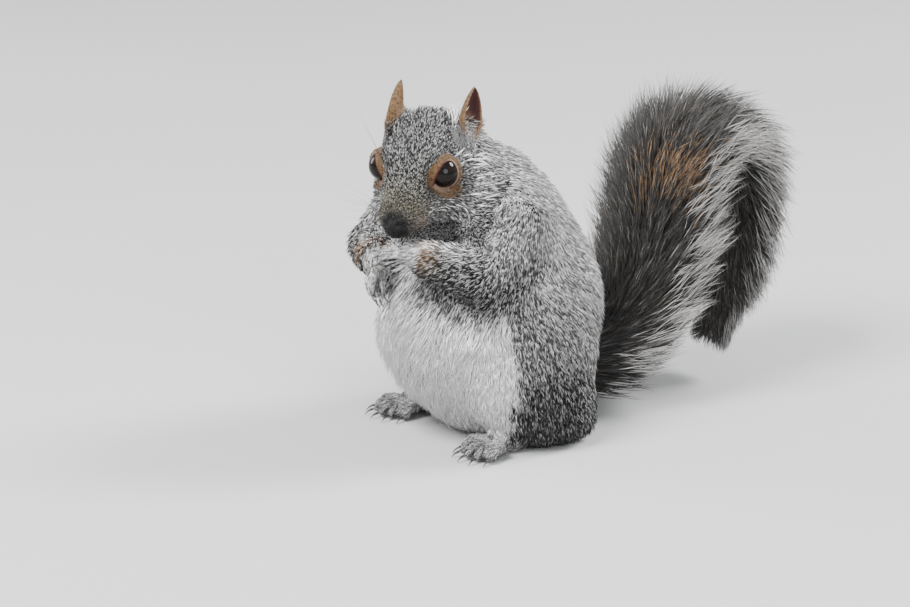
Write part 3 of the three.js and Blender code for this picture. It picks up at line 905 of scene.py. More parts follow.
def eyeMarks(points, share, wander):
    # cream rim, ochre ring, its dark edge, the red of the upper lid and the spot at the eye's front corner
    look = markLook
    gap = ringGap(points)
    byEye = share["head"] * (nearestEye(points) < 15)
    cream = byEye * smoothStep(look["rim"] + 0.35, look["rim"] - 0.2, gap)
    ochre = byEye * smoothStep(look["ring"] + 0.9, look["ring"] - 0.7, gap + wander * 0.5) * (1 - cream)
    out, width, strength = look["ringEdge"]
    ringEdge = byEye * bump(gap, out, width) * strength
    redLid, tear = np.zeros(len(points)), np.zeros(len(points))
    out, whole, end = look["redLid"]
    for eye in eyes.values():
        upper = smoothStep(0.1, 0.5, -unit(points - eye["middle"]) @ eye["lower"])
        upper *= distance(points, eye["middle"]) < 12
        redLid = np.maximum(redLid, byEye * upper * smoothStep(end, whole, np.abs(gap - out)))
        corner = eye["middle"] - eye["long"] * (eye["radius"] + 1.5 * mm) + eye["lower"] * 2.5 * mm
        tear = np.maximum(tear, bump(distance(points, corner), 0, look["tear"]))
    return cream, ochre, ringEdge, redLid, tear * share["head"]


def inEar(points, normals):
    # how far below the ear's tip, and whether a face looks into the hollow: 1 in it, -1 behind it
    best, below, inside = np.full(len(points), np.inf), np.zeros(len(points)), np.zeros(len(points))
    for ear in ears.values():
        down = -((points - ear["tip"]) @ ear["up"])
        focus = ear["tip"] - down[:, None] * ear["up"] + ear["opens"] * 0.6 * mm
        gap = np.linalg.norm(focus - points, axis=1)
        nearer = gap < best
        best = np.where(nearer, gap, best)
        below = np.where(nearer, down / mm, below)
        inside = np.where(nearer, dot(normals, unit(focus - points)), inside)
    return below, inside


def shadeMarks(points, normals, share):
    # lighter over the back; darker low on the haunch and under the forearm, both painted shade
    look, height = shadeLook, points[:, 2] / mm
    _, ahead, up = inHead(points).T
    over, arm = share["trunk"] + look["neck"] * share["neck"], share["forearm"] + 0.6 * share["upper_arm"]
    shade = look["all"] + look["back"] * smoothStep(50, 95, height) * over
    shade += look["behind"] * smoothStep(0, 0.8, normals[:, 1]) * (share["trunk"] + share["thigh"])
    # painted shade low on the haunch
    haunch = look["haunchTop"] * smoothStep(30, 50, height) - look["haunch"] * smoothStep(52, 22, height)
    shade += share["thigh"] * haunch
    # painted shade where the arms face down
    shade -= look["armUnderShade"] * arm * smoothStep(0.1, -0.7, normals[:, 2])
    shade += look["shoulder"] * smoothStep(82, 102, height) * share["upper_arm"]
    shade -= look["forearm"] * share["forearm"] + look["hand"] * share["hand"] + look["foot"] * share["foot"]
    face = look["face"] * smoothStep(-36, -14, ahead) + look["muzzle"] * bump(ahead, 22, 9)
    face += look["cheek"] * bump(up, -12, 7) - look["nape"] * smoothStep(-18, -34, ahead)
    return shade - share["head"] * face


def markings(points, normals, shares):
    look = markLook
    share = dict(zip(regionNames, shares.T))
    _, ahead, up = inHead(points).T
    wander = ripple(points, 14 * mm, 3) * 0.6 + ripple(points, 5 * mm, 4) * 0.4
    cream, ochre, ringEdge, redLid, tear = eyeMarks(points, share, wander)
    mouthSide = share["head"] * bump(ahead, 25, 5) * bump(up, -6, 5)
    ochre = np.maximum(ochre, np.maximum(0.15 * tear, 0.4 * mouthSide))

    # nose, muzzle, the spots on the wrists, and painted shade in the grooves between the toes
    reach, fade, strength = look["noseDark"]
    nose = bump(distance(points, headAxes["nose"]), 0, reach) ** fade * strength
    dark = np.maximum(np.clip(nose, 0, 1) * (share["head"] > 0.3), np.maximum(ringEdge, 0.5 * tear))
    olive = share["head"] * bump(ahead, 22, 11) * smoothStep(-10, 0, up) * look["olive"]
    upon, (strength, width) = np.array(look["wrist"]) * mm, look["wristRust"]
    wrists = [middleOf("hand_" + side) * 0.4 + middleOf("forearm_" + side) * 0.6 + upon for side in sides]
    wrist = np.max([bump(distance(points, spot), 0, width) for spot in wrists], axis=0)
    rust = strength * wrist * (share["hand"] + share["forearm"])
    for paw in toeLook["deep"]:
        for side in sides:
            dark = np.maximum(dark, look["toeGrooveShade"] * betweenToes(points, paw, side) * share[paw])

    # ears: ochre and nearly bare, with a dark hollow, its darkness painted shade over the bare skin's red,
    # and a pale rim
    below, inside = inEar(points, normals)
    maroonShade = share["ear"] * smoothStep(0.0, 0.35, inside) * smoothStep(*look["earHollow"], below)
    bare = share["ear"] * smoothStep(*look["earBare"], below)
    ochre = np.maximum(ochre, bare * (1 - maroonShade) * 0.8)
    rust = np.maximum(rust, bare * 0.9)
    cream = np.maximum(cream, share["ear"] * bump(inside, 0.0, 0.22) * 0.4)
    white = whiteMarks(points, normals, share, wander) * (1 - share["ear"]) * (1 - ochre)
    shade = shadeMarks(points, normals, share)
    none = np.zeros(len(points))
    kinds = {
        "marks": (white, rust, dark, cream),
        "tints": (maroonShade, ochre, olive, shade),
        "lids": (redLid, none, none, none + 1),
    }
    return {kind: np.clip(np.stack(rows, -1), 0, 1) for kind, rows in kinds.items()}


# finishes

hairLook = {
    "under": (0.020, 0.019, 0.019),
    "underGrey": (0.10, 0.098, 0.096),  # where the coat is lightest
    "bandDark": (0.20, 0.198, 0.194),  # the light band of a hair, low on the haunch
    "bandLight": (0.585, 0.581, 0.573),  # and over the back
    "tipDark": (0.010, 0.0095, 0.0095),
    "tipGrey": (0.22, 0.218, 0.214),  # the dark tips where the coat is lightest
    "tipped": (0.92, 0.45),  # share of the tufts that end dark, there and there
    "bandFrom": (0.08, 0.48),  # along a hair
    "bandLong": 0.24,
    "bandSoft": 0.12,
    "darkest": 0.72,  # how dark the darkest tuft is beside the lightest
    "whiteRoot": (0.66, 0.66, 0.665),
    "whiteTip": (0.96, 0.955, 0.945),
    "rustRoot": (0.06, 0.032, 0.016),
    "rustTip": (0.32, 0.170, 0.070),
    "ochreRoot": (0.035, 0.020, 0.010),
    "ochreTip": (0.115, 0.066, 0.029),
    "olive": (0.74, 0.70, 0.47),
    # black of the nose, also painted shade in the grooves between the toes
    "blackAndGrooveShade": (0.007, 0.0065, 0.0065),
    "cream": (0.155, 0.098, 0.07),
    # deep in the ear's hollow: painted shade over the bare skin's red
    "maroonShade": (0.034, 0.011, 0.010),
    "redLid": (0.05, 0.010, 0.009),
}
tailHairLook = {
    "root": (0.085, 0.062, 0.046),
    "black": (0.017, 0.015, 0.0135),
    "silver": (0.44, 0.436, 0.426),
    "silverFrom": (1.02, 0.56),  # along a hair: where the tail is black, and where it is silver
    "rust": (0.31, 0.17, 0.07),
    "grizzle": (0.12, 0.108, 0.092),
    "flecks": (0.35, 0.85),  # where on a hair they begin
    "fleckLong": {"grizzle": 0.16, "rust": 0.24},
    "darkest": 0.7,
}
smallLook = {  # dark and light of the small parts, and of the floor
    "eye": ((0.003, 0.0025, 0.0025), (0.010, 0.006, 0.004)),
    "claw": ((0.012, 0.010, 0.009), (0.055, 0.042, 0.036)),
    "whisker": ((0.02, 0.018, 0.017), (0.06, 0.055, 0.05)),
    "floor": ((0.38, 0.38, 0.38), (0.42, 0.42, 0.417)),
}
black, plainWhite = (0.0, 0.0, 0.0), (1.0, 1.0, 1.0)


class Graph:
    # a short way to write a material's nodes
    def __init__(self, name):
        self.material = bpy.data.materials.new(name)
        self.material.use_nodes = True
        self.nodes = self.material.node_tree.nodes
        self.links = self.material.node_tree.links
        self.nodes.clear()
        self.shader = self.nodes.new("ShaderNodeBsdfPrincipled")
        output = self.nodes.new("ShaderNodeOutputMaterial")
        self.links.new(self.shader.outputs["BSDF"], output.inputs["Surface"])

    def put(self, socket, value):
        if isinstance(value, bpy.types.NodeSocket):
            self.links.new(value, socket)
        else:
            socket.default_value = (*value, 1) if isinstance(value, tuple) else value

    def channels(self, name):
        # the four parts of a colour that is kept on the mesh
        node = self.nodes.new("ShaderNodeAttribute")
        node.attribute_name = name
        split = self.nodes.new("ShaderNodeSeparateColor")
        self.links.new(node.outputs["Color"], split.inputs[0])
        return [split.outputs[part] for part in ("Red", "Green", "Blue")] + [node.outputs["Alpha"]]

    def math(self, operation, first, second=0.0, clamp=False):
        node = self.nodes.new("ShaderNodeMath")
        node.operation, node.use_clamp = operation, clamp
        self.put(node.inputs[0], first)
        self.put(node.inputs[1], second)
        return node.outputs[0]

    def step(self, value, low, high, start=0.0, end=1.0):
        node = self.nodes.new("ShaderNodeMapRange")
        node.interpolation_type = "SMOOTHSTEP"
        given = {"Value": value, "From Min": low, "From Max": high, "To Min": start, "To Max": end}
        for name, number in given.items():
            self.put(node.inputs[name], number)
        return node.outputs["Result"]

    def mix(self, share, first, second, blend="MIX"):
        node = self.nodes.new("ShaderNodeMix")
        node.data_type, node.blend_type = "RGBA", blend
        self.put(node.inputs["Factor"], share)
        self.put(node.inputs["A"], first)
        self.put(node.inputs["B"], second)
        return node.outputs["Result"]

    def noise(self, scale, detail=3.0, stretch=None):
        place = self.nodes.new("ShaderNodeTexCoord").outputs["Object"]
        if stretch:
            mapping = self.nodes.new("ShaderNodeMapping")
            mapping.inputs["Scale"].default_value = stretch
            self.links.new(place, mapping.inputs["Vector"])
            place = mapping.outputs["Vector"]
        node = self.nodes.new("ShaderNodeTexNoise")
        self.links.new(place, node.inputs["Vector"])
        node.inputs["Scale"].default_value, node.inputs["Detail"].default_value = scale, detail
        return node.outputs["Fac"]

    def bump(self, height, strength, distance):
        node = self.nodes.new("ShaderNodeBump")
        node.inputs["Strength"].default_value, node.inputs["Distance"].default_value = strength, distance
        self.links.new(height, node.inputs["Height"])
        self.links.new(node.outputs["Normal"], self.shader.inputs["Normal"])

    def shuffled(self, chance, times, start, end):
        # another random number for each hair, from start to end
        return self.step(self.math("FRACT", self.math("MULTIPLY", chance, times)), 0, 1, start, end)

    def varied(self, colour, chance, times, darkest):
        # makes each hair a little darker or lighter than the next
        shade = self.mix(self.shuffled(chance, times, darkest, 1.0), black, plainWhite)
        return self.mix(1.0, colour, shade, "MULTIPLY")

    def finish(self, colour, roughness, specular=0.5, **sockets):
        self.put(self.shader.inputs["Base Color"], colour)
        self.shader.inputs["Roughness"].default_value = roughness
        self.shader.inputs["Specular IOR Level"].default_value = specular
        for name, value in sockets.items():
            self.shader.inputs[name].default_value = value
        return self.material


def bodyColour(graph, along, chance):
    # along a hair: dark root, light band, and a dark tip on some; then the markings over it
    look = hairLook
    white, rust, dark, cream = graph.channels("marks")
    maroonShade, ochre, olive, shade = graph.channels("tints")
    redLid = graph.channels("lids")[0]

    def grown(root, tip, low, high):
        return graph.mix(graph.step(along, low, high), look[root], look[tip])

    # the coat's tone, darker where shade is painted low on the haunch and under the arms
    band = graph.mix(shade, look["bandDark"], look["bandLight"])
    band = graph.mix(olive, band, graph.mix(1.0, band, look["olive"], "MULTIPLY"))
    lightest = graph.step(shade, 0.4, 1.0)
    under = graph.mix(lightest, look["under"], look["underGrey"])
    tip = graph.mix(lightest, look["tipDark"], look["tipGrey"])
    past = graph.math("SUBTRACT", along, graph.shuffled(chance, 13.7, *look["bandFrom"]))
    grey = graph.mix(graph.step(past, 0.0, look["bandSoft"]), under, band)
    tipped = graph.math("LESS_THAN", chance, graph.step(shade, 0, 1, *look["tipped"]))
    beyond = graph.step(past, look["bandLong"], look["bandLong"] + look["bandSoft"])
    colour = graph.mix(graph.math("MULTIPLY", beyond, tipped), grey, tip)
    # painted shade is among these markings: dark in the toes' grooves and deep in the ears' hollows
    for share, over in (
        (rust, grown("rustRoot", "rustTip", 0.1, 0.7)),
        (ochre, grown("ochreRoot", "ochreTip", 0.0, 0.6)),
        (white, grown("whiteRoot", "whiteTip", 0.0, 0.6)),
        (cream, look["cream"]),
        (dark, look["blackAndGrooveShade"]),
        (maroonShade, look["maroonShade"]),
        (redLid, look["redLid"]),
    ):
        colour = graph.mix(share, colour, over)
    return graph.varied(colour, chance, 7.31, look["darkest"])


def coatMaterial():
    graph = Graph("coat")
    colour = bodyColour(graph, *graph.channels("strand")[:2])
    grain = graph.noise(1400, 2)
    colour = graph.mix(graph.step(grain, 0.35, 0.7, 0.0, 0.15), colour, black)
    graph.bump(grain, 0.25, 0.0002)
    return graph.finish(colour, 0.62, 0.14, **{"Sheen Weight": 0.03})


def skinMaterial():
    graph = Graph("skin")
    speckle = graph.noise(1100, 4)
    colour = bodyColour(graph, graph.step(speckle, 0.3, 0.7, 0.05, 0.7), graph.noise(650, 2))
    graph.bump(graph.noise(1900, 4), 0.5, 0.0004)
    return graph.finish(colour, 0.7, 0.14)


def tailMaterial():
    graph = Graph("tailHair")
    look = tailHairLook
    along, chance = graph.channels("strand")[:2]
    white, rust, dim, grizzled = graph.channels("marks")
    colour = graph.mix(graph.step(along, 0.15, 0.4), look["root"], look["black"])
    for kind, share, times in (("grizzle", grizzled, 5.3), ("rust", rust, 8.9)):
        long = look["fleckLong"][kind]
        past = graph.math("SUBTRACT", along, graph.shuffled(chance, times, *look["flecks"]))
        fleck = graph.math("MULTIPLY", graph.step(past, 0.0, 0.08), graph.step(past, long + 0.08, long))
        colour = graph.mix(graph.math("MULTIPLY", share, fleck), colour, look[kind])
    start = graph.step(white, 0, 1, *look["silverFrom"])
    rise = graph.math("MULTIPLY", graph.math("SUBTRACT", along, start), 9.0, True)
    colour = graph.mix(rise, colour, graph.mix(dim, look["silver"], look["root"]))
    colour = graph.varied(colour, chance, 9.7, look["darkest"])
    graph.bump(graph.noise(1200, 2), 0.2, 0.0002)
    return graph.finish(colour, 0.55, 0.3, **{"Sheen Weight": 0.08})


def cloudy(graph, noise, low, high, what):
    return graph.mix(graph.step(noise, low, high), *smallLook[what])


def eyeMaterial():
    graph = Graph("eyeWet")
    return graph.finish(cloudy(graph, graph.noise(260, 3), 0.3, 0.75, "eye"), 0.06, 0.3, IOR=1.33)


def hornMaterial():
    graph = Graph("clawHorn")
    streak = graph.noise(700, 3, (1, 1, 0.3))
    graph.bump(streak, 0.25, 0.0001)
    return graph.finish(cloudy(graph, streak, 0.35, 0.7, "claw"), 0.34)


def whiskerMaterial():
    graph = Graph("whisker")
    return graph.finish(cloudy(graph, graph.noise(90, 1), 0.4, 0.6, "whisker"), 0.45)


def floorMaterial():
    graph = Graph("floor")
    return graph.finish(graph.mix(graph.noise(3, 4), *smallLook["floor"]), 0.85, 0.2)


# tufts: closed three-sided spikes, grown from places on the skin

tuftLook = {
    "firstSeed": 11,
    "patch": 0.003,  # size of one tuft on the coat's own map
    "flat": 0.7,  # how deep it is beside its width
    "lowest": 0.7 * mm,  # none comes nearer the floor
    "sunk": 0.25 * mm,  # how deep its root is in the skin
    "clumps": ((0, 9, 0.16), (5, 3.5, 0.10)),  # seed, size in millimetres and strength of each
    "astray": 0.10,
    "lengths": (0.75, 1.15),
    "lifts": (0.6, 1.4),
    "bends": 0.10,
    "widths": (0.7, 1.25),
    "taper": {1: (1.0,), 2: (0.8, 1.0)},
    "shortest": 0.3 * mm,
    "mostFaces": 199000,  # in one piece
    "fleck": (0.24, 2.4, 1.6),  # how far tufts of a kind stand together, on the body and on face and feet
}


def putAttribute(mesh, name, rows):
    kept = mesh.attributes.new(name, "FLOAT_COLOR", "POINT")
    kept.data.foreach_set("color", rows.astype(np.float32).ravel())


def spikes(name, centres, halfWidths, side, up, marked, chance, spots, material):
    # centres: points from root to tip; halfWidths: at each of them but the tip
    count, rings = halfWidths.shape
    turn = math.pi / 2 + np.arange(3) * 2 * math.pi / 3
    aside, above = np.cos(turn)[:, None], tuftLook["flat"] * np.sin(turn)[:, None]
    corners = aside * side[:, None, None] + above * up[:, None, None]
    ring = centres[:, :-1, None] + halfWidths[:, :, None, None] * corners
    points = np.concatenate([ring.reshape(count, rings * 3, 3), centres[:, -1:]], 1)
    per, top = rings * 3 + 1, (rings - 1) * 3
    faces = [(0, 2, 1)]
    for a in range(top):
        b = a - 2 if a % 3 == 2 else a + 1
        faces += [(a, b, b + 3), (a, b + 3, a + 3)]
    faces += [(top + i, top + (i + 1) % 3, per - 1) for i in range(3)]
    faces = (np.array(faces)[None] + np.arange(count)[:, None, None] * per).reshape(-1, 3)
    piece = newPiece(name, points.reshape(-1, 3), faces)
    along = np.append(np.repeat(np.arange(rings) / rings, 3), 1.0)
    strand = np.zeros((count, per, 4))
    strand[..., 0], strand[..., 1], strand[..., 3] = along, chance[:, None], 1
    putAttribute(piece.data, "strand", strand.reshape(-1, 4))
    for kind, rows in marked.items():
        putAttribute(piece.data, kind, np.repeat(rows, per, 0))
    across = np.append(np.tile([-0.5, 0, 0.5], rings), 0.0)
    patch = spots[:, None] + np.stack([across, along - 0.5], -1)[None] * tuftLook["patch"]
    uv = piece.data.uv_layers.new(name="OFBake")
    uv.data.foreach_set("uv", patch.reshape(-1, 2)[faces.ravel()].astype(np.float32).ravel())
    piece.data.materials.append(material)
    return piece


def unwrapped(faces):
    # lays these faces of the skin out flat, and gives each corner's place
    used, index = np.unique(faces, return_inverse=True)
    sheet = newPiece("sheet", points[used], index.reshape(-1, 3), False)
    bpy.context.view_layer.objects.active = sheet
    sheet.select_set(True)
    bpy.ops.object.mode_set(mode="EDIT")
    bpy.ops.mesh.select_all(action="SELECT")
    bpy.ops.uv.smart_project(angle_limit=math.radians(75), island_margin=0.004)
    bpy.ops.object.mode_set(mode="OBJECT")
    uv = readAll(sheet.data.uv_layers.active.data, "uv", 2)
    bpy.data.objects.remove(sheet)
    return uv.reshape(-1, 3, 2)


markKinds = markings(points, softNormals, shares)
for kind, rows in markKinds.items():
    putAttribute(skin.data, kind, rows)


def evenRank(values):
    # the same order, spread evenly from 0 to 1
    rank = np.empty(len(values))
    rank[np.argsort(values)] = np.arange(len(values)) / len(values)
    return rank


def scattered(chosen, rings, random):
    # as many places on these faces as the coat is thick there: their faces, and where on each
    faces = triangles[chosen]
    corners = points[faces]
    area = np.linalg.norm(np.cross(corners[:, 1] - corners[:, 0], corners[:, 2] - corners[:, 0]), axis=1) / 2
    wanted = (shares[faces].mean(1) @ perRegion("thick")) * area / mm**2
    count = min(int(wanted.sum() * workScale), tuftLook["mostFaces"] // (6 * rings - 2))
    pick = random.choice(len(faces), count, p=wanted / wanted.sum())
    return faces, pick, random.dirichlet((1, 1, 1), count)


def growCoat(name, chosen, rings, seed, material):
    # chosen: which triangles of the skin this piece grows on
    look, random = tuftLook, np.random.default_rng(seed)
    faces, pick, spread = scattered(chosen, rings, random)
    count = len(pick)

    def blend(rows):
        return (rows[faces[pick]] * spread.reshape(count, 3, *[1] * (rows.ndim - 1))).sum(1)

    spots = (unwrapped(faces)[pick] * spread[:, :, None]).sum(1)
    root, up, way, place = blend(points), unit(blend(softNormals)), blend(lie), blend(shares)
    marked = {kind: blend(rows) for kind, rows in markKinds.items()}
    white = marked["marks"][:, 0]
    marked["marks"][:, 0] = 0.2 * white + 0.8 * (white > random.uniform(0, 1, count))
    length, width, lift = trimmed(root, place, marked)
    clump = sum(
        np.stack([ripple(root, size * mm, seed + first + k) for k in range(3)], -1) * strength
        for first, size, strength in look["clumps"]
    )
    soft = (marked["marks"][:, 0] * shareOf(place, "trunk"))[:, None]
    astray = random.normal(0, look["astray"], (count, 3)) * (1 - 0.5 * soft)
    way = unit(way + clump * (1 + 0.4 * soft) + astray)
    way = unit(way - up * dot(way, up)[:, None])
    side = np.cross(way, up)
    length = length * mm * random.uniform(*look["lengths"], count)
    rise = np.radians(lift) * random.uniform(*look["lifts"], count)
    bend = random.normal(0, look["bends"], count) * length
    s = np.linspace(0, 1, rings + 1)[None, :, None]
    centres = (
        root[:, None]
        - up[:, None] * look["sunk"]
        + way[:, None] * (np.cos(rise) * length)[:, None, None] * s
        + up[:, None] * (np.sin(rise) * length)[:, None, None] * (s * (1.5 - 0.5 * s))
        + side[:, None] * bend[:, None, None] * s**2
    )
    centres[..., 2] = np.maximum(centres[..., 2], look["lowest"])
    half = (width * mm * random.uniform(*look["widths"], count) / 2)[:, None] * np.array(look["taper"][rings])
    fine = shareOf(place, "head", "hand", "foot", "ear")
    together, coarse, small = look["fleck"]
    fleck = ripple(root, coarse * mm, seed + 20) * (1 - fine) + ripple(root, small * mm, seed + 21) * fine
    chance = evenRank(fleck * together + random.uniform(-1, 1, count))
    kept = length > look["shortest"]
    marked = {kind: rows[kept] for kind, rows in marked.items()}
    centres, half, side, up, chance, spots = [rows[kept] for rows in (centres, half, side, up, chance, spots)]
    piece = spikes(name, centres, half, side, up, marked, chance, spots, material)
    print(name, int(kept.sum()), "tufts", len(piece.data.polygons), "faces")
    return piece


trimLook = {
    "face": 0.3,  # how much shorter than elsewhere on the head
    "nape": 0.5,  # how much longer
    "cheek": 0.9,
    "belly": 0.85,
    "faceWidth": 0.1,
    "whiteWidth": 0.38,  # how much thinner the white hair is
    "whiteLift": 5,
    "lidBare": 0.55,  # none nearer the lids, in millimetres
    "noseBare": 3.4,
    "byClaws": 0.25,  # share of the length left there
    "earTufts": (0.5, 22),  # longer and more lifted behind the ears
    "earHollow": 0.85,
}


def trimmed(root, place, marked):
    # length, width and lift of the tufts at their roots: shorter on the face and round the eyes,
    # none on the eyes' rims, the nose's tip and in the ears
    look = trimLook
    length, width, lift = [place @ perRegion(key) for key in ("length", "width", "lift")]
    _, ahead, up = inHead(root).T
    head, trunk, white = shareOf(place, "head"), shareOf(place, "trunk"), marked["marks"][:, 0]
    face = head * smoothStep(-6, 20, ahead)
    length = length * (1 - look["face"] * face) * (1 + look["nape"] * head * smoothStep(-12, -28, ahead))
    width = width * (1 - look["faceWidth"] * face)
    gap = ringGap(root)
    byEye = (nearestEye(root) < 14) & (head > 0.3)
    length = np.where(byEye, length * (0.2 + 0.8 * smoothStep(0.6, 5.5, gap)), length)
    length = np.where(byEye & (gap < look["lidBare"]), 0, length)
    nose = distance(root, headAxes["nose"])
    length = length * smoothStep(1.0, 5.5, nose) * (nose > look["noseBare"])
    length = length * (1 + look["cheek"] * head * bump(ahead, 3, 15) * bump(up, -15, 7))
    byClaw = np.min([distance(root, middleOf(name)) for name in clawNodes], axis=0)
    length = length * (look["byClaws"] + (1 - look["byClaws"]) * smoothStep(2.0, 6.5, byClaw))
    length = length * (1 + look["belly"] * white * trunk)
    width = width * (1 - look["whiteWidth"] * white * (1 - head))
    length = np.where(marked["tints"][:, 0] > 0.3, 0, length)
    longer, higher = look["earTufts"]
    for ear in ears.values():
        gap = distance(root, ear["base"])
        beside = smoothStep(-4, -3, (root - ear["base"]) @ ear["opens"] / mm) * (1 - smoothStep(6, 10, gap))
        near = white * (1 - smoothStep(9, 14, gap)) * np.clip(1 - 5 * shareOf(place, "ear"), 0, 1)
        length = length * (1 - look["earHollow"] * beside) * (1 + longer * near)
        lift = lift + higher * near
    return length, width, lift - look["whiteLift"] * white * trunk


# the tail's long hair, from its core out to the tips of its brush

brushLook = {
    "pieces": 3,
    "seed": 40,
    "hairs": 31500,
    "width": 0.54,
    "taper": (0.9, 1.0, 0.62),
    "reach": (0.66, 1.07),  # where the tips end, in half sizes of the tail
    "short": (0.3, 0.78),  # share of shorter hairs, and how long they are
    "wisps": 0.13,  # how much further a lock may reach
    "lean": 0.085,  # how much further along the tail a hair's tip lies than its root
    "leanAtRump": 0.035,
    "lock": 0.45,  # how strongly neighbouring tips draw together
    "lockSize": (62, 0.24),  # locks along the whole tail, and how wide each is round it
    "toSides": 0.28,  # more hair to the two sides than before and behind
    "lastRoot": 0.955,
    "fringe": (0.74, 0.96),  # where the silver edge begins and is whole, from the middle to the right
    "fringeLeft": (0.81, 1.0),
    "overArch": (0.50, 0.62, 0.72),  # silver again there, along the tail
    "rustAt": (0.475, 0.032),  # along the tail
    "rustAside": (0.55, 0.44),
    "grizzled": 0.4,
    "arch": (0.22, 0.42, 0.60, 0.78),
    "fuller": (0.14, 0.42),  # how far the hair stands past the form of the arch, aside and in depth
}


def roundTail(turn, way, reach=(1, 1)):
    # from the tail's middle out, at this turn round its way
    across = np.array([1.0, 0, 0])
    deep = np.cross(way, across)
    return (np.cos(turn) * reach[0])[:, None] * across + (np.sin(turn) * reach[1])[:, None] * deep


def drawnIntoLocks(tip, tipShare, turn, tipTurn, random):
    along, width = brushLook["lockSize"]
    row = np.floor(tipShare * along + 0.5 * np.sin(turn * 3)).astype(int)
    _, lock = np.unique(row * 64 + np.floor(tipTurn / width).astype(int), return_inverse=True)
    heart = np.stack([np.bincount(lock, values) for values in tip.T], -1) / np.bincount(lock)[:, None]
    return tip + (heart[lock] - tip) * brushLook["lock"] * random.uniform(0.3, 1.2, len(tip))[:, None]


def brushMarks(tipShare, aside, outward, random):
    # white, rust, dimness and grizzle of each hair
    look, count = brushLook, len(aside)
    # towards the back of the squirrel, or up where the tail arches over
    facing = outward @ unit([0, -0.8, 0.6])
    begins, whole, ends = look["overArch"]
    over = smoothStep(begins, whole, tipShare) * smoothStep(ends, whole, tipShare)
    outer = smoothStep(-0.1, 0.6, -facing) * smoothStep(0.55, 0.66, tipShare)
    edge = aside + random.normal(0, 0.05, count)
    white = np.maximum(smoothStep(*look["fringe"], -edge), smoothStep(*look["fringeLeft"], edge))
    white = np.maximum(white, np.maximum(0.75 * over, 0.8 * outer) * random.uniform(0.4, 1, count))
    white = np.maximum(white, 0.24 * random.uniform(0, 1, count) ** 2)
    rust = bump(tipShare, *look["rustAt"]) * bump(aside, *look["rustAside"]) * smoothStep(-0.1, 0.5, facing)
    rust = (rust * 1.5 > random.uniform(0, 1, count)) * random.uniform(0.5, 1, count)
    dim = random.uniform(0, 0.5, count)
    often = look["grizzled"] * (1 + smoothStep(0.6, 0.72, tipShare))
    grizzled = (random.uniform(0, 1, count) < often) * (1 - 0.5 * rust)
    return np.stack([white * (1 - 0.8 * rust), rust, dim, grizzled], -1)


def growBrush(part, material):
    look = brushLook
    random = np.random.default_rng(look["seed"] + part)
    count = int(look["hairs"] / look["pieces"] * workScale)
    start, end = part / look["pieces"], (part + 1) / look["pieces"]
    share = random.uniform(start, end, count) * look["lastRoot"]
    turn = random.uniform(0, 2 * math.pi, count)
    turn = turn - look["toSides"] * np.sin(2 * turn)
    middle, way, _ = tailAt(share)
    outward = roundTail(turn, way)
    root = middle + outward * (coreRadius(share) * 0.85)[:, None]

    tipShare = share + look["lean"] * random.uniform(0.25, 1.6, count) + look["leanAtRump"] * (1 - share)
    tipTurn = turn + random.normal(0, 0.2, count)
    shortShare, shorter = look["short"]
    short = random.uniform(0, 1, count) < shortShare
    reach = random.uniform(*look["reach"], count) * np.where(short, shorter, 1)
    wisp = np.stack([tipShare * 60, np.cos(tipTurn) * 5, np.sin(tipTurn) * 5], -1)
    reach = reach * (1 + look["wisps"] * ripple(wisp, 2.2, 60))
    archFrom, archWhole, archLast, archEnd = look["arch"]
    arch = smoothStep(archFrom, archWhole, tipShare) * smoothStep(archEnd, archLast, tipShare)
    middle, tipWay, radii = tailAt(tipShare)
    reaches = [radii[:, k] * reach * (1 + look["fuller"][k] * arch) for k in (0, 1)]
    past = np.maximum(tipShare - 1, 0) * tail["length"] * 0.25
    tip = middle + roundTail(tipTurn, tipWay, reaches) + tipWay * past[:, None]
    tip = drawnIntoLocks(tip, tipShare, turn, tipTurn, random)

    length = np.linalg.norm(tip - root, axis=1)
    bow = outward * 0.10 + tipWay * 0.05 + random.normal(0, 0.06, (count, 3))
    knee = root + (tip - root) * 0.5 + bow * length[:, None]
    s = np.array([0, 0.36, 0.7, 1.0])[None, :, None]
    centres = root[:, None] * (1 - s) ** 2 + 2 * knee[:, None] * s * (1 - s) + tip[:, None] * s**2
    centres[..., 2] = np.maximum(centres[..., 2], tuftLook["lowest"])
    along = unit(tip - root)
    side = unit(np.cross(along, outward))
    up = unit(np.cross(side, along))
    half = (look["width"] * mm * random.uniform(0.7, 1.3, count) / 2)[:, None] * np.array(look["taper"])
    marked = {"marks": brushMarks(tipShare, np.cos(tipTurn) * reach, outward, random)}
    spots = np.stack([(share / look["lastRoot"] - start) / (end - start), turn / (2 * math.pi) % 1], -1)
    name, chance, spots = f"tailHair{part + 1}", random.uniform(0, 1, count), 0.01 + 0.98 * spots
    piece = spikes(name, centres, half, side, up, marked, chance, spots, material)
    print(name, count, "hairs", len(piece.data.polygons), "faces")
    return piece


owner = np.argmax(shares[triangles].mean(1), 1)
onLeft = points[triangles].mean(1)[:, 0] > 0
front = softNormals[triangles].mean(1)[:, 1] < -0.1


def on(*names):
    return np.isin(owner, regionIndex(*names))


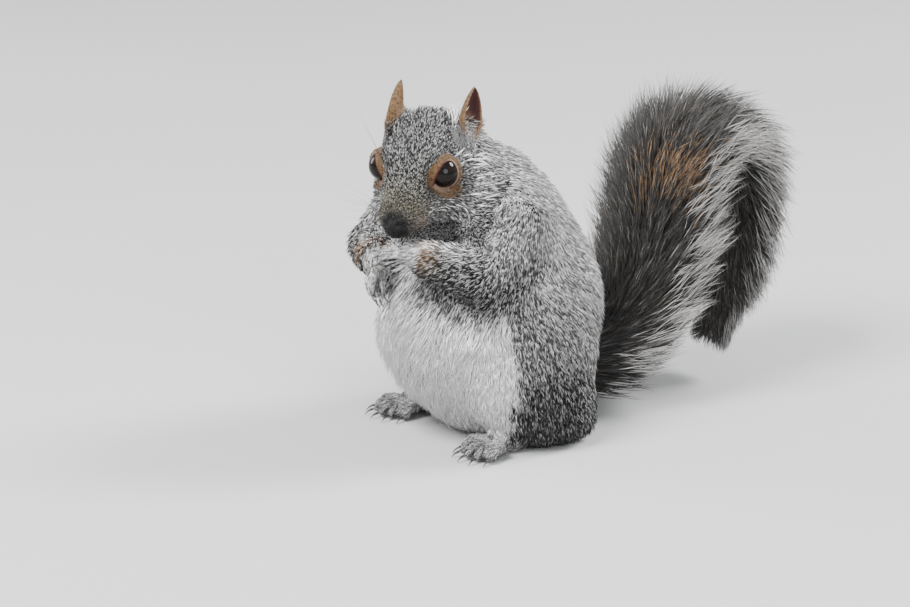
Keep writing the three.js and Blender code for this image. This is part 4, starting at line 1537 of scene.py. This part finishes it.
coatParts = {  # where each piece grows, the rings of a tuft and its material slot
    "coatHead": (on("head"), 2, "grey_coat"),
    "coatNeck": (on("neck"), 2, "grey_coat"),
    "coatArms": (on("upper_arm", "forearm"), 2, "grey_coat"),
    "coatBelly": (on("trunk") & front, 2, "grey_coat"),
    "coatBack": (on("trunk") & ~front, 2, "grey_coat"),
    "coatThighLeft": (on("thigh") & onLeft, 2, "grey_coat"),
    "coatThighRight": (on("thigh") & ~onLeft, 2, "grey_coat"),
    "coatPaws": (on("hand", "foot"), 1, "paw_fur"),
    "coatEars": (on("ear"), 1, "ear_fur"),
}
fur, brushHair = coatMaterial(), tailMaterial()
slotted = []  # every piece with its slot
for seed, (name, (chosen, rings, slot)) in enumerate(coatParts.items(), tuftLook["firstSeed"]):
    slotted.append((growCoat(name, chosen, rings, seed, fur), slot))
slotted += [(growBrush(part, brushHair), "tail_fur") for part in range(brushLook["pieces"])]
skin.data.materials.clear()
skin.data.materials.append(skinMaterial())
skin.data.shade_smooth()


# eyes, claws and whiskers

eyeLook = {"columns": 40, "rows": 24, "cornea": 0.035, "corneaWide": 0.8}
whiskerLook = {
    "perSide": 13,
    "browHairs": 3,
    "length": 30,
    "width": 0.16,
    "thinTip": 0.35,
    "droop": 5,
    "seed": 77,
}


def buildEye(side, material):
    eye, columns, rows = eyes[side], eyeLook["columns"], eyeLook["rows"]
    ring = np.arange(columns) * 2 * math.pi / columns
    tilt = np.linspace(0, math.pi, rows + 1)[:-1]
    bulge = eye["radius"] * (1 + eyeLook["cornea"] * bump(tilt, 0, eyeLook["corneaWide"]))
    outward = np.cos(ring)[:, None] * eye["long"] + np.sin(ring)[:, None] * eye["wide"]
    ahead, aside = [(turned * bulge)[:, None, None] for turned in (np.cos(tilt), np.sin(tilt))]
    rings = ahead * eye["axis"] + aside * outward
    points = eye["middle"] + np.vstack([rings[0, :1], rings[1:].reshape(-1, 3), -eye["axis"] * eye["radius"]])
    last = len(points) - 1

    def at(r, c):
        return 1 + r * columns + c % columns

    faces = [
        (at(r, c), at(r + 1, c), at(r + 1, c + 1), at(r, c + 1))
        for r in range(rows - 2)
        for c in range(columns)
    ]
    faces += [(0, at(0, c), at(0, c + 1)) for c in range(columns)]
    faces += [(last, at(rows - 2, c + 1), at(rows - 2, c)) for c in range(columns)]
    piece = newPiece("eyeball_" + side, points, faces)
    piece.data.materials.append(material)
    return piece


def buildClaws(material):
    claws = addObject("claws", joinedNodes("claws", clawNodes, lambda node: 0))
    rounded = claws.modifiers.new("round", "SUBSURF")
    rounded.levels = rounded.render_levels = 2
    withModifiers(claws)
    claws.data.shade_smooth()
    claws.data.materials.append(material)
    return claws


def growWhiskers(material):
    look, random = whiskerLook, np.random.default_rng(whiskerLook["seed"])
    _, ahead, up = inHead(headAxes["nose"][None])[0]
    roots, outs, bows = [], [], []
    for side in sides.values():
        for i in range(look["perSide"]):
            row, place = i % 3, i // 3
            spot = (side * (4.2 + 0.7 * place), ahead - 5.5 - 1.7 * place, up + 0.5 - 2.0 * row + 0.3 * place)
            out = unit([side, random.uniform(-0.75, -0.2), random.uniform(-0.45, 0.35)])
            roots.append(spot)
            outs.append(out * look["length"] * random.uniform(0.55, 1.0))
            bows.append(look["droop"] * random.uniform(0.3, 1.2))
        for i in range(look["browHairs"]):
            roots.append((side * (11 + i), 4 - 2 * i, 8 + 0.5 * i))
            outs.append(np.array([side * (0.5 + 0.2 * i), -0.6 - 0.2 * i, 0.8]) * look["length"] * 0.5)
            bows.append(-1.5)
    surface = surfaceTree(points, triangles)
    roots = np.array([surface.find_nearest(Vector(fromHead(*spot)))[0] for spot in roots])
    outs = np.array([fromHead(*out) - headAxes["middle"] for out in outs])
    bow = np.array([0, 0, 1.0]) * np.array(bows)[:, None] * mm
    s = np.linspace(0, 1, 9)[None, :, None]
    centres = roots[:, None] + outs[:, None] * s + bow[:, None] * (s - 1.6 * s**2)
    side = unit(np.cross(outs, [0, 0, 1.0]))
    count = len(roots)
    half = np.full((count, 1), look["width"] * mm / 2) * np.linspace(1, look["thinTip"], 8)[None]
    spots = np.stack([np.arange(count) / count * 0.95 + 0.02, np.full(count, 0.5)], -1)
    up = np.cross(side, unit(outs))
    blank = {"marks": np.zeros((count, 4))}
    return spikes("whiskers", centres, half, side, up, blank, np.full(count, 0.5), spots, material)


eyeWet = eyeMaterial()
eyeballs = {side: buildEye(side, eyeWet) for side in sides}
claws = buildClaws(hornMaterial())
whiskers = growWhiskers(whiskerMaterial())
print("eyes, claws and whiskers made")


# what stands for what

fleshNodes = limbNodes + tailNodes + earNodes
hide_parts(*fleshNodes)
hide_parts(*clawNodes)
for side, piece in eyeballs.items():
    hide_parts("eye_" + side)
slotted += [(skin, "grey_coat"), (whiskers, "grey_coat"), (claws, "claw")]
slotted += [(piece, "eye") for piece in eyeballs.values()]
for piece, slot in slotted:
    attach(piece, "root")


# floor, light and camera

viewLook = {
    "azimuth": 56,
    "elevation": 17,
    "distance": 1.5,
    "width": 0.4095,  # of what the camera sees there
    "height": 0.080,  # of its aim, over the hips
    "shift": (-0.01575, -0.0214),  # of the aim, across the view
    "film": 36,
}
coolWhite = (0.95, 0.97, 1.0)
lightLook = {  # place, aim, size, power and colour
    "key": ((0.25, -1.15, 1.5), (0, 0, 0.08), 0.9, 88, plainWhite),
    "fill": ((1.5, -0.5, 0.7), (0, 0, 0.07), 1.0, 20, coolWhite),
    "side": ((-1.3, -0.9, 0.6), (0, 0, 0.07), 0.8, 20, plainWhite),
    "back": ((0.5, 1.3, 1.4), (0, 0, 0.1), 0.8, 80, plainWhite),
}
skyLook = {"colour": coolWhite, "strength": 0.9}


def addFloor():
    floor = newPiece("floor", [(-9, -9, 0), (9, -9, 0), (9, 9, 0), (-9, 9, 0)], [(0, 1, 2, 3)], False)
    floor.data.materials.append(floorMaterial())


def addLight(name, place, aim, size, power, tint):
    light = bpy.data.lights.new(name, "AREA")
    light.shape, light.size, light.energy, light.color = "DISK", size, power, tint
    lamp = addObject(name, light)
    lamp.location = place
    lamp.rotation_euler = (Vector(aim) - Vector(place)).to_track_quat("-Z", "Y").to_euler()


def addCamera():
    look = viewLook
    az, el = math.radians(look["azimuth"]), math.radians(look["elevation"])
    toward = Vector((math.sin(az) * math.cos(el), -math.cos(az) * math.cos(el), math.sin(el)))
    turn = toward.to_track_quat("Z", "Y")
    aim = Vector((0, hips[1], look["height"])) + turn @ Vector((*look["shift"], 0))
    camera = bpy.data.cameras.new("camera")
    camera.sensor_width = look["film"]
    camera.lens = look["film"] * look["distance"] / look["width"]
    camera.clip_start, camera.clip_end = 0.05, 40
    holder = addObject("camera", camera)
    holder.location = aim + toward * look["distance"]
    holder.rotation_euler = turn.to_euler()
    bpy.context.scene.camera = holder


def addSky():
    world = bpy.data.worlds.new("studio")
    world.use_nodes = True
    back = world.node_tree.nodes["Background"]
    back.inputs["Color"].default_value = (*skyLook["colour"], 1)
    back.inputs["Strength"].default_value = skyLook["strength"]
    bpy.context.scene.world = world


addFloor()
for name, values in lightLook.items():
    addLight(name, *values)
addSky()
addCamera()
print("floor, light and camera set")
